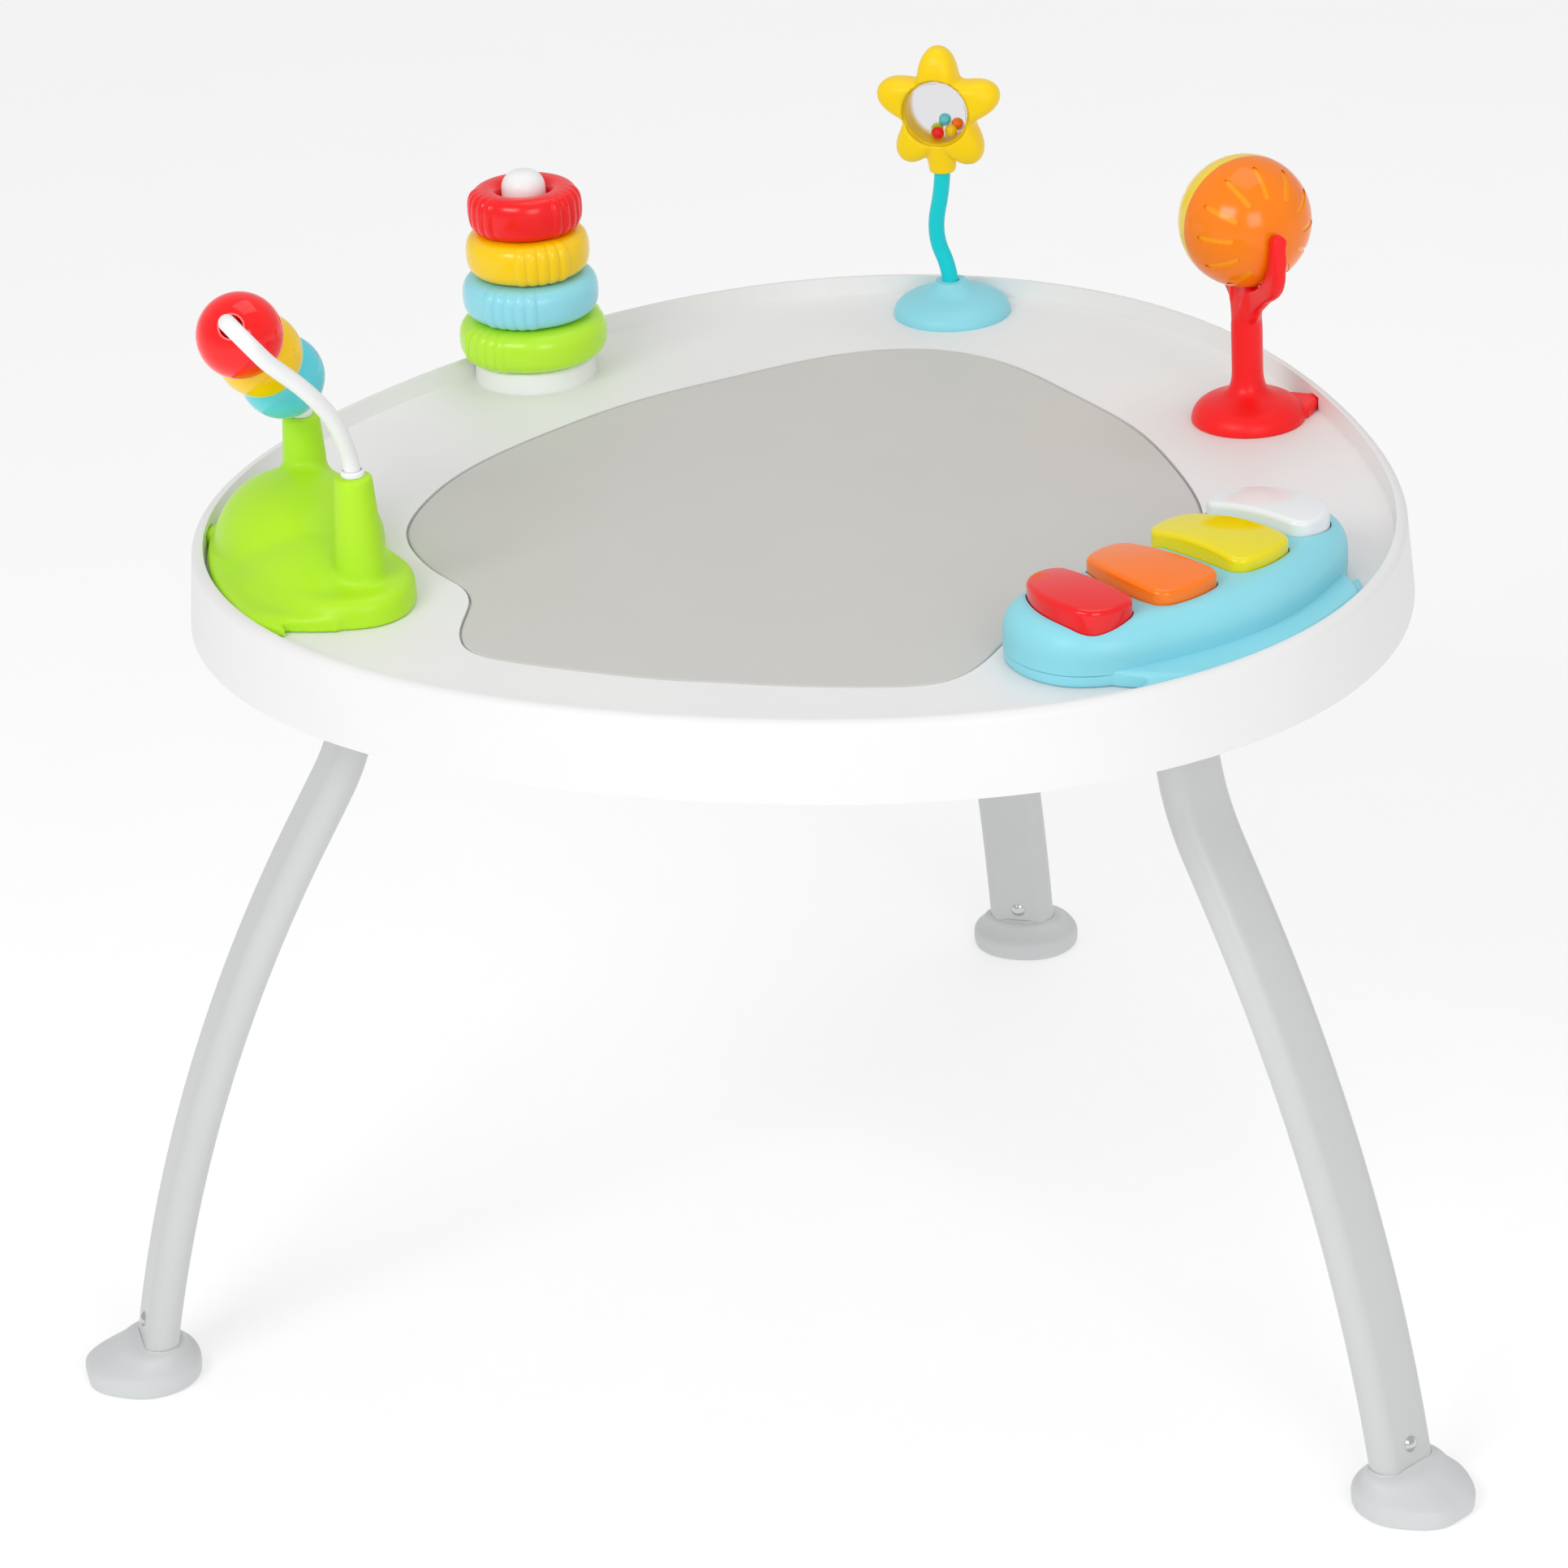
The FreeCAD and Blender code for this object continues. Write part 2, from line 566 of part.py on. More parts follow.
def star_beads():
    """Five loose rattle beads at the bottom of the window, a little apart."""
    spots = [(-0.3, -4.0, -13.7), (7.9, -4.0, -12.2), (10.2, 3.6, -10.2), (-2.6, 4.0, -14.1), (2.4, 4.0, -7.9)]
    return Part.makeCompound([Part.makeSphere(RATTLE_BEAD_R, STAR_CENTRE + V(*spot)) for spot in spots])


# ---------------------------------------------------------------- spinner ball
def ball_frame(shape):
    return at_station(shape, BALL_STATION, BALL_AZ)


def stand_body():
    profile = [(33.2, 0.0), (33.0, 3.5), (30.6, 8.5), (25.0, 12.6), (17.0, 15.6), (12.2, 18.6), (9.9, 24.0)]
    profile.append((9.35, 32.0))
    body = revolve_profile([(r, SURFACE_Z + h) for r, h in profile])
    body = body.fuse(cylinder(9.35, SURFACE_Z + 31, BALL_Z - FORK_R - 18))
    body = body.fuse(Part.makeSphere(9.35, V(0, 0, BALL_Z - FORK_R - 18)))
    body = body.fuse(fork())
    for side in (-1, 1):
        body = body.cut(rod(2.85, V(0, 0, BALL_Z), V(0, side * (FORK_R + 1.2), BALL_Z)))
    return body.cut(Part.makeSphere(BALL_R + 1.3, V(0, 0, BALL_Z)))


def fork():
    """U-shaped yoke with a pointed web that runs down into the stem."""
    tip_y = FORK_R + 2.6
    side = [(tip_y, BALL_Z), (tip_y, BALL_Z - 22), (tip_y - 4.5, BALL_Z - 37), (26, BALL_Z - 54), (9.2, BALL_Z - 68)]
    right = [V(0, y, z) for y, z in side]
    left = [V(0, -p.y, p.z) for p in reversed(right)]
    edges = [Part.makeLine(right[-1], left[0]), Part.makeLine(left[-1], right[0])]
    for flank in (right, left):
        curve = Part.BSplineCurve()
        curve.interpolate(Points=flank)
        edges.append(curve.toShape())
    plate = Part.Face(Part.Wire(Part.__sortEdges__(edges))).extrude(V(ARM_W, 0, 0))
    plate.translate(V(-ARM_W / 2, 0, 0))
    long = [e for e in plate.Edges if e.BoundBox.XLength < 0.01 and e.BoundBox.ZLength > 12]
    plate = plate.makeFillet(2.2, long)
    plate = plate.cut(rod(BALL_R + 1.8, V(-20, 0, BALL_Z), V(20, 0, BALL_Z)))
    for side in (-1, 1):
        end = rod(ARM_W / 2, V(0, side * tip_y, BALL_Z), V(0, side * (BALL_R + 1.8), BALL_Z))
        plate = plate.fuse(end)
    return plate


def ball_stand():
    body = ball_frame(stand_body()).common(inside_rim().fuse(prism(tray_wire(0, 0), 500, 700)))
    az, v, width = TABS[2]
    body = body.fuse(tab(az, v, width, 16.0, RIM_Z - 4.4))
    body = screw_holes(body, BALL_AZ)
    outer = ball_frame(box(0.01, 80, -80, 80, 480, 700))
    inner = ball_frame(box(-80, -0.01, -80, 80, 480, 700))
    return body.common(inner), body.common(outer)


def ball_half(side):
    """Hollow half ball with raised bars round its pole and a bearing boss inside."""
    centre = V(0, 0, BALL_Z)
    half = box(-60, 60, min(side * 0.01, side * 60), max(side * 0.01, side * 60), 500, 700)
    shell = Part.makeSphere(BALL_R, centre).cut(Part.makeSphere(BALL_R - 2.2, centre))
    grooves = []
    for k in range(12):
        slot = box(23.2, 34.5, -60, 60, -1.7, 1.7)
        for x in (23.2, 34.5):
            slot = slot.fuse(rod(1.7, V(x, -60, 0), V(x, 60, 0)))
        slot.rotate(V(0, 0, 0), V(0, 1, 0), 30.0 * k)
        slot.translate(centre)
        grooves.append(slot)
    skin = Part.makeSphere(BALL_R + 5, centre).cut(Part.makeSphere(BALL_R - 0.8, centre))
    body = shell.cut(skin.common(Part.makeCompound(grooves)))
    boss = rod(6.0, centre + V(0, side * 31, 0), centre + V(0, side * (BALL_R - 1), 0))
    body = body.fuse(boss).common(half).cut(rod(2.85, centre, centre + V(0, side * 50, 0)))
    return ball_frame(body)


def ball_pins():
    parts = []
    for side in (-1, 1):
        parts.append(rod(2.8, V(0, side * 32.0, BALL_Z), V(0, side * (FORK_R + 1.1), BALL_Z)))
    return ball_frame(Part.makeCompound(parts))


# ---------------------------------------------------------------- bead arch
BEAD_OUTLINE = [(246, 50), (250, 68), (259, 84), (273, 93), (290, 93), (307, 86), (321, 70), (331, 48)]
BEAD_OUTLINE += [(337, 20), (338.5, -10), (336, -40), (327, -66), (311, -82), (290, -88), (270, -84)]
BEAD_OUTLINE += [(255, -70), (248, -48), (250, -18), (253, 10), (248, 32)]


def arch_frame():
    d = V(ARCH_DIR).normalize()
    lean = V(ARCH_LEAN).normalize()
    inward = (lean - d * d.dot(lean)).normalize()
    return d, inward, ARCH_MID + inward * ARCH_R


def arch_point(s):
    """Point and direction on the bead stretch, s measured from its middle bead."""
    d, inward, centre = arch_frame()
    a = s / ARCH_R
    point = centre + (d * math.sin(a) - inward * math.cos(a)) * ARCH_R
    return point, d * math.cos(a) + inward * math.sin(a)


def tip_arc(start, ahead, down):
    """Tight bend between the bead stretch and the front leg, and the point where it ends."""
    half = ahead.getAngle(down) / 2
    along = (ahead + down).normalize()
    out = (ahead - down).normalize()
    end = start + along * 2 * TIP_R * math.sin(half)
    mid = start + along * TIP_R * math.sin(half) + out * TIP_R * (1 - math.cos(half))
    return Part.Arc(start, mid, end).toShape(), end


def bead_wire():
    start, ahead = arch_point(TIP_S)
    down = V(TIP_DROP).normalize()
    bend, end = tip_arc(start, ahead, down)
    rear = [V(POST_REAR.x, POST_REAR.y, z) for z in (555.2, 575.5)]
    rear += [arch_point(s)[0] for s in (-64, -18, 20)] + [start - ahead * 26.0, start]
    front = [end, end + down * 14.0, V(303.5, 86.8, 630.0), V(287.0, 74.5, 605.5)]
    front += [V(POST_FRONT.x, POST_FRONT.y, z) for z in (575.5, 555.2)]
    edges = rounded_route(rear) + [bend] + rounded_route(front)
    return turned(tube_along(edges, WIRE_R), BEAD_AZ)


def wire_collars():
    parts = []
    for post in (POST_FRONT, POST_REAR):
        ring = cylinder(6.7, POST_Z + 0.05, POST_Z + 3.2, post.x, post.y)
        ring = ring.makeFillet(1.2, edges_at(ring, POST_Z + 3.2))
        parts.append(ring.cut(cylinder(WIRE_R + 0.55, POST_Z - 1, POST_Z + 5, post.x, post.y)))
    return turned(Part.makeCompound(parts), BEAD_AZ)


def bead(s):
    half = BEAD_PITCH / 2 - 0.4
    ball = Part.makeSphere(BEAD_R).common(cylinder(BEAD_R + 1, -half, half))
    ball = ball.cut(cylinder(BEAD_BORE, -40, 40))
    point, direction = arch_point(s)
    ball.Placement = FreeCAD.Placement(point, FreeCAD.Rotation(UP, direction))
    return turned(ball, BEAD_AZ)


def bead_hill(inset):
    """Rounded kidney plate with the smooth hump round the rear post; inset gives its hollow."""
    top = SURFACE_Z + 16.5 - inset
    plate = prism(outline_wire(BEAD_OUTLINE, inset), SURFACE_Z - inset, top)
    plate = plate.makeFillet(7.0 - inset / 2, edges_at(plate, top))
    body = plate
    for u, v, a, b, c in ((293, -24, 44.0, 62.0, 50.0), (294, -8, 43.5, 84.0, 29.0)):
        stretch = FreeCAD.Matrix()
        stretch.scale(a - inset, b - inset, c - inset)
        hump = Part.makeSphere(1.0).transformGeometry(stretch)
        hump.translate(V(u, v, SURFACE_Z))
        body = body.fuse(hump.common(prism(outline_wire(BEAD_OUTLINE, 0.6 + inset), SURFACE_Z - inset, SURFACE_Z + 80)))
    return body


def bead_base():
    hill = bead_hill(0.0)
    body = hill.cut(bead_hill(2.8))
    for post in (POST_FRONT, POST_REAR):
        cone = Part.makeCone(15.6, 10.5, POST_Z - SURFACE_Z - 8, V(post.x, post.y, SURFACE_Z + 8))
        body = body.fuse(cone.makeFillet(2.0, edges_at(cone, POST_Z)))
        body = body.cut(cylinder(WIRE_R + 0.1, 555, POST_Z + 5, post.x, post.y))
    for u, v in TOY_SCREWS[BEAD_AZ]:
        body = body.fuse(cylinder(4.5, SURFACE_Z, SURFACE_Z + 50, u, v).common(hill))
    body = turned(body, BEAD_AZ)
    for az, v, width in TABS[3:5]:
        body = body.fuse(tab(az, v, width, 26.0, RIM_Z - 4.4))
    return screw_holes(body, BEAD_AZ)


# ---------------------------------------------------------------- piano
PIANO_HALF = [(238, 0), (234.5, 32), (227, 60), (226.5, 80), (234, 99), (250, 111), (268, 115.5)]
PIANO_HALF += [(290, 112), (309, 95), (324, 62), (333, 25), (335, 0)]


def piano_wire(inset):
    return outline_wire([(u, v + 3.0) for u, v in mirrored_outline(PIANO_HALF)], inset)


def key_corners(index):
    """Four corners of a fan-shaped key; keys 0 and 3 are the end keys."""
    side = -1.0 if index < 2 else 1.0
    if index in (0, 3):
        corners = [(241, 57), (303, 65), (297, 98), (243, 86)]
        bows = [(272, 62), (305.5, 81), (270, 99.5), (236.5, 72)]
    else:
        corners = [(243, 9), (311, 6), (309, 52), (244, 41)]
        bows = [(277, 9), (314.5, 29), (277, 51), (239.5, 25)]
    return [(u, side * v) for u, v in corners], [(u, side * v) for u, v in bows]


def at_spot(edge, point):
    return math.hypot(edge.BoundBox.Center.x - point.x, edge.BoundBox.Center.y - point.y)


def key_wire(index, grow=0.0):
    corners, bows = key_corners(index)
    cu = sum(p[0] for p in corners) / 4
    cv = sum(p[1] for p in corners) / 4
    hu = (max(p[0] for p in corners) - min(p[0] for p in corners)) / 2
    hv = (max(p[1] for p in corners) - min(p[1] for p in corners)) / 2

    def grown(p):
        return V(cu + (p[0] - cu) * (1 + grow / hu), cv + (p[1] - cv) * (1 + grow / hv), 0)

    edges = []
    for k in range(4):
        edges.append(Part.Arc(grown(corners[k]), grown(bows[k]), grown(corners[(k + 1) % 4])).toShape())
    slab = Part.Face(Part.Wire(edges)).extrude(UP)
    for radius, chosen in ((16.0 if index in (0, 3) else 10.0, (2, 3)), (10.0, (0, 1))):
        spots = [grown(corners[k]) for k in chosen]
        picked = [e for e in long_edges(slab, 1.0) if min(at_spot(e, p) for p in spots) < 0.01]
        slab = slab.makeFillet(radius + grow, picked)
    return min(slab.Faces, key=lambda f: f.CenterOfMass.z).OuterWire


def piano_block(inset, z0, z1, soft):
    block = prism(piano_wire(inset), z0, z1)
    return block.makeFillet(soft, edges_at(block, z1))


def piano_upper():
    body = piano_block(0.0, PIANO_SEAM + 0.15, PIANO_TOP, 17.0)
    body = body.cut(piano_block(2.6, PIANO_SEAM - 1, PIANO_TOP - 2.6, 14.5))
    for k in range(4):
        body = body.cut(prism(key_wire(k, KEY_GAP), PIANO_SEAM, PIANO_TOP + 5))
    return turned(body, PIANO_AZ)


def piano_lower():
    body = prism(piano_wire(0.4), SURFACE_Z, PIANO_SEAM)
    body = body.makeFillet(1.2, edges_at(body, SURFACE_Z))
    body = body.cut(prism(piano_wire(2.8), SURFACE_Z + 2.5, PIANO_SEAM + 1))
    for u, v in TOY_SCREWS[PIANO_AZ]:
        body = body.fuse(cylinder(4.5, SURFACE_Z + 2, SURFACE_Z + 9, u, v))
    for u, v in BOARD_POSTS:
        body = body.fuse(cylinder(2.5, SURFACE_Z + 2, SURFACE_Z + 10, u, v))
    body = turned(body, PIANO_AZ)
    for az, v, width in TABS[5:7]:
        body = body.fuse(tab(az, v, width, 26.0, RIM_Z - 5.0))
    body = body.cut(turned(prism(door_wire(0.25), SURFACE_Z - 1, SURFACE_Z + 3), PIANO_AZ))
    return screw_holes(body, PIANO_AZ)


def door_wire(grow):
    u0, u1, v0, v1 = 309 - grow, 323 + grow, -48 - grow, 48 + grow
    return Part.makePolygon([V(u0, v0, 0), V(u1, v0, 0), V(u1, v1, 0), V(u0, v1, 0), V(u0, v0, 0)])


def battery_door():
    door = prism(door_wire(0.0), SURFACE_Z + 0.2, SURFACE_Z + 2.4)
    return turned(door, PIANO_AZ)


def batteries():
    parts = []
    for v in (-46.5, 1.5):
        cell = rod(5.2, V(316, v, 498.2), V(316, v + 43.5, 498.2))
        parts.append(cell.fuse(rod(1.8, V(316, v + 43.5, 498.2), V(316, v + 44.8, 498.2))))
    return turned(Part.makeCompound(parts), PIANO_AZ)


BOARD_POSTS = [(u, v) for u in (258, 292) for v in (-70, 70)]


def sound_board():
    board = box(252, 300, -84, 84, 500.2, 501.8)
    pads = [cylinder(5.5, 501.6, 504.2, u, v) for u, v in KEY_CENTRES]
    for pad in pads:
        board = board.fuse(pad)
    return turned(board, PIANO_AZ)


KEY_CENTRES = [(272, -78), (278, -29), (278, 29), (272, 78)]


def speaker():
    can = cylinder(16, 492.8, 496.5, 275, 0).fuse(cylinder(9, 496.4, 499.8, 275, 0))
    return turned(can, PIANO_AZ)


def piano_key(index):
    wire = key_wire(index)
    body = prism(wire, 508.0, KEY_TOP)
    u, v = KEY_CENTRES[index]
    crown = Part.makeSphere(190.0, V(u, v, KEY_TOP - 190.0))
    body = body.common(crown)
    rim = [e for e in body.Edges if e.BoundBox.ZMin > KEY_TOP - 7 and e.BoundBox.ZLength < 4]
    body = body.makeFillet(3.2, rim)
    body = body.cut(prism(key_wire(index, -2.4), 500, KEY_TOP - 6))
    flange = prism(key_wire(index, 1.8), 508.0, 510.5).cut(prism(key_wire(index, -2.4), 500, 520))
    flange = flange.common(prism(piano_wire(3.9), 500, 520))
    body = body.fuse(flange).fuse(cylinder(4.0, 508.0, KEY_TOP - 5, u, v))
    return turned(body, PIANO_AZ)


# ---------------------------------------------------------------- all nodes
def all_nodes():
    nodes = {"tray_shell": tray_shell(), "tray_cover": tray_cover()}
    for name, az in LEG_AZ.items():
        nodes["leg_tube_" + name] = turned(leg_tube(), az)
        nodes["leg_socket_" + name] = turned(leg_socket(), az)
        nodes["foot_" + name] = turned(foot(), az)
        nodes["lock_button_" + name] = turned(lock_button(), az)
    nodes["foot_rivets"] = Part.makeCompound([turned(rivet(2.5, 4.6), az) for az in LEG_AZ.values()])
    nodes["socket_screws"] = socket_screws()
    nodes["toy_screws"] = toy_screws()
    nodes["stacker_base"] = stacker_base()
    nodes["stacker_post"] = stacker_post()
    for index, name in enumerate(RING_DIAMETERS):
        lower, upper = ring_halves(name, index)
        nodes["ring_" + name + "_lower"] = lower
        nodes["ring_" + name + "_upper"] = upper
    nodes["star_base"] = star_base()
    nodes["star_stalk"] = star_stalk()
    nodes["star_front"], nodes["star_back"] = star_shells()
    nodes["star_window"] = star_window()
    nodes["star_beads"] = star_beads()
    nodes["ball_stand_inner"], nodes["ball_stand_outer"] = ball_stand()
    nodes["ball_orange"] = ball_half(-1)
    nodes["ball_yellow"] = ball_half(1)
    nodes["ball_pins"] = ball_pins()
    nodes["bead_base"] = bead_base()
    nodes["bead_wire"] = bead_wire()
    nodes["wire_collars"] = wire_collars()
    for name, s in (("blue", -BEAD_PITCH), ("yellow", 0.0), ("red", BEAD_PITCH)):
        nodes["bead_" + name] = bead(s)
    nodes["piano_lower"] = piano_lower()
    nodes["piano_upper"] = piano_upper()
    for index, name in enumerate(("red", "orange", "yellow", "white")):
        nodes["key_" + name] = piano_key(index)
    nodes["battery_door"] = battery_door()
    nodes["batteries"] = batteries()
    nodes["sound_board"] = sound_board()
    nodes["speaker"] = speaker()
    return nodes


os.makedirs("parts", exist_ok=True)
for node_name, node_shape in all_nodes().items():
    node_shape.translate(V(0, LEG_CIRCLE_SHIFT, 0))
    node_shape.exportStep("parts/" + node_name + ".step")
    print(node_name, len(node_shape.Solids), node_shape.isValid(), round(node_shape.Volume))
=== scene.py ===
import bpy
import bmesh
import math
from mathutils import Matrix, Vector


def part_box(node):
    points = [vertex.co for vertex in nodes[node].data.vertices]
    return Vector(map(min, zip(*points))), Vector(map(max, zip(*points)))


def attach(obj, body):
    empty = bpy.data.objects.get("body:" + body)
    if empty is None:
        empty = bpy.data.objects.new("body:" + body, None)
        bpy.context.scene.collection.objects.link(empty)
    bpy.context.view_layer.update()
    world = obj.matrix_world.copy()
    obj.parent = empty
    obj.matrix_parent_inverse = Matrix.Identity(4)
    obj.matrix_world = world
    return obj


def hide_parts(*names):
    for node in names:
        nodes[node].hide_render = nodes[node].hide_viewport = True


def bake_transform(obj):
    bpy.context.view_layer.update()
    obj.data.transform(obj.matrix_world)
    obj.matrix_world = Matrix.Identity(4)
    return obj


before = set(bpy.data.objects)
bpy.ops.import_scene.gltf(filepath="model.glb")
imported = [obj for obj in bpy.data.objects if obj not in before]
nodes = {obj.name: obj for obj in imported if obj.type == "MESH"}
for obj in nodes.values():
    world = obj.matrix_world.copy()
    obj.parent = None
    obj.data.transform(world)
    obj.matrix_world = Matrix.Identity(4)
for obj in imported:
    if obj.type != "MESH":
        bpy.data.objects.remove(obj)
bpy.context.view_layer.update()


# ------------------------------------------------------------------ materials
def linear(r, g, b):
    """Scene-linear colour from 0-255 screen values."""
    out = []
    for c in (r, g, b):
        c /= 255.0
        out.append(c / 12.92 if c <= 0.04045 else ((c + 0.055) / 1.055) ** 2.4)
    return out


def new_material(name):
    mat = bpy.data.materials.new(name)
    mat.use_nodes = True
    tree = mat.node_tree
    shader = tree.nodes["Principled BSDF"]
    coords = tree.nodes.new("ShaderNodeTexCoord")
    return mat, tree, shader, coords


def noise(tree, coords, scale, detail=2.0, rough=0.5):
    """Noise texture in the object's own space."""
    node = tree.nodes.new("ShaderNodeTexNoise")
    node.inputs["Scale"].default_value = scale
    node.inputs["Detail"].default_value = detail
    node.inputs["Roughness"].default_value = rough
    tree.links.new(coords.outputs["Object"], node.inputs["Vector"])
    return node


def spread(tree, source, low, high):
    """Stretch the middle of a noise to a range of values."""
    node = tree.nodes.new("ShaderNodeMapRange")
    node.inputs["From Min"].default_value = 0.3
    node.inputs["From Max"].default_value = 0.7
    node.inputs["To Min"].default_value = low
    node.inputs["To Max"].default_value = high
    tree.links.new(source, node.inputs["Value"])
    return node.outputs["Result"]


def tint(tree, source, dark, light):
    """Turn a noise into a shift between two close colours."""
    ramp = tree.nodes.new("ShaderNodeValToRGB")
    ramp.color_ramp.elements[0].position = 0.32
    ramp.color_ramp.elements[1].position = 0.68
    ramp.color_ramp.elements[0].color = (*dark, 1.0)
    ramp.color_ramp.elements[1].color = (*light, 1.0)
    tree.links.new(source, ramp.inputs["Fac"])
    return ramp.outputs["Color"]


def moulded(name, rgb, rough=0.4, coat=0.0, grain=0.0, grain_scale=900.0, mottle=0.02,
            clear=0.0, soft=0.0, metal=0.0, wave=0.0):
    """Moulded plastic or coated metal: faint mottling, uneven sheen, fine surface grain."""
    mat, tree, shader, coords = new_material(name)
    base = linear(*rgb)
    broad = noise(tree, coords, 14.0, 3.0)
    fine = noise(tree, coords, grain_scale, 2.0, 0.6)
    dark = [c * (1 - mottle) for c in base]
    light = [min(1.0, c * (1 + mottle)) for c in base]
    tree.links.new(tint(tree, broad.outputs["Fac"], dark, light), shader.inputs["Base Color"])
    low, high = max(0.02, rough - 0.04), min(1.0, rough + 0.05)
    tree.links.new(spread(tree, broad.outputs["Fac"], low, high), shader.inputs["Roughness"])
    bump = tree.nodes.new("ShaderNodeBump")
    bump.inputs["Strength"].default_value = max(grain, 0.02)
    bump.inputs["Distance"].default_value = 0.0002
    tree.links.new(fine.outputs["Fac"], bump.inputs["Height"])
    if wave > 0:
        swell = noise(tree, coords, 30.0, 1.0)
        low_bump = tree.nodes.new("ShaderNodeBump")
        low_bump.inputs["Strength"].default_value = wave
        low_bump.inputs["Distance"].default_value = 0.0006
        tree.links.new(swell.outputs["Fac"], low_bump.inputs["Height"])
        tree.links.new(bump.outputs["Normal"], low_bump.inputs["Normal"])
        bump = low_bump
    tree.links.new(bump.outputs["Normal"], shader.inputs["Normal"])
    shader.inputs["Metallic"].default_value = metal
    shader.inputs["Specular IOR Level"].default_value = 0.3 if rough > 0.25 else 0.4
    shader.inputs["Coat Weight"].default_value = coat
    shader.inputs["Coat Roughness"].default_value = 0.06
    shader.inputs["Transmission Weight"].default_value = clear
    if soft > 0:
        shader.inputs["Subsurface Weight"].default_value = soft
        shader.inputs["Subsurface Scale"].default_value = 0.004
        shader.inputs["Subsurface Radius"].default_value = (1.0, 0.8, 0.6)
    return mat


# name, colour, roughness, clear coat, grain depth, grain scale, mottling
M = {
    "tray": moulded("tray_white", (234, 234, 234), 0.42, 0.0, 0.25, 1400, 0.008),
    "cover": moulded("cover_grey", (203, 202, 198), 0.5, 0.0, 0.35, 1600, 0.008),
    "leg": moulded("leg_coat", (202, 205, 203), 0.33, 0.0, 0.22, 1100, 0.01, wave=0.05),
    "foot": moulded("foot_grey", (207, 209, 210), 0.45, 0.0, 0.3, 1300, 0.012),
    "rivet": moulded("rivet_metal", (205, 206, 208), 0.16, 0.0, 0.05, 700, 0.05, metal=1.0),
    "screw": moulded("screw_zinc", (190, 191, 192), 0.3, 0.0, 0.1, 700, 0.08, metal=1.0),
    "socket": moulded("socket_white", (232, 232, 230), 0.45, 0.0, 0.3, 1200, 0.01),
    "lime": moulded("lime_plastic", (180, 234, 38), 0.36, 0.0, 0.2, 1200, 0.015, soft=0.1),
    "blue": moulded("blue_plastic", (142, 217, 231), 0.36, 0.0, 0.2, 1200, 0.015, soft=0.1),
    "yellow": moulded("yellow_plastic", (255, 214, 0), 0.34, 0.0, 0.2, 1200, 0.015, soft=0.1),
    "red": moulded("red_plastic", (252, 24, 28), 0.36, 0.0, 0.2, 1200, 0.015, soft=0.1),
    "white": moulded("white_plastic", (240, 241, 242), 0.34, 0.0, 0.2, 1200, 0.01, soft=0.1),
    "bead_red": moulded("bead_red_gloss", (242, 8, 14), 0.12, 0.2, 0.04, 900, 0.02),
    "bead_yellow": moulded("bead_yellow_gloss", (252, 208, 0), 0.12, 0.2, 0.04, 900, 0.02),
    "bead_blue": moulded("bead_blue_gloss", (92, 214, 232), 0.12, 0.2, 0.04, 900, 0.02),
    "ring_lime": moulded("ring_lime", (188, 240, 50), 0.24, 0.1, 0.06, 900, 0.015, soft=0.1),
    "ring_blue": moulded("ring_blue", (148, 222, 238), 0.24, 0.1, 0.06, 900, 0.015, soft=0.1),
    "ring_yellow": moulded("ring_yellow", (255, 210, 0), 0.24, 0.1, 0.06, 900, 0.015, soft=0.1),
    "ring_red": moulded("ring_red", (248, 16, 22), 0.24, 0.1, 0.06, 900, 0.015, soft=0.1),
    "teal": moulded("teal_stalk", (0, 210, 218), 0.4, 0.0, 0.2, 900, 0.02),
    "orange_clear": moulded("orange_translucent", (255, 130, 0), 0.16, 0.05, 0.03, 600, 0.02, soft=0.1),
    "yellow_clear": moulded("yellow_translucent", (255, 214, 40), 0.16, 0.1, 0.03, 600, 0.02, soft=0.3),
    "key_red": moulded("key_red", (238, 18, 24), 0.12, 0.15, 0.03, 600, 0.02, soft=0.1),
    "key_orange": moulded("key_orange", (255, 122, 8), 0.12, 0.15, 0.03, 600, 0.02, soft=0.1),
    "key_yellow": moulded("key_yellow", (236, 220, 0), 0.12, 0.15, 0.03, 600, 0.02, soft=0.1),
    "key_white": moulded("key_white", (232, 234, 237), 0.12, 0.15, 0.03, 600, 0.01, soft=0.1),
    "board": moulded("board_green", (30, 110, 60), 0.4, 0.2, 0.1, 600, 0.1),
    "black": moulded("black_plastic", (38, 38, 40), 0.5, 0.0, 0.3, 900, 0.05),
    "cell": moulded("battery_case", (150, 152, 156), 0.3, 0.0, 0.1, 600, 0.06, metal=1.0),
    "clear": moulded("window_clear", (240, 240, 242), 0.03, 0.0, 0.02, 300, 0.003, clear=1.0),
}


def see_through(mat):
    """A thin clear wall: little bending of light, mostly a faint sheen."""
    shader = mat.node_tree.nodes["Principled BSDF"]
    shader.inputs["IOR"].default_value = 1.06
    shader.inputs["Alpha"].default_value = 0.62


BALL_AZ = 36.7
SLOT_REPEAT, SLOT_HALF_WIDTH = 6.0, 0.0017      # a sine repeated 6 times a turn marks 12 slots
SLOT_START, SLOT_END = 0.0233, 0.0344           # middles of a slot's round ends, from the ball's axis


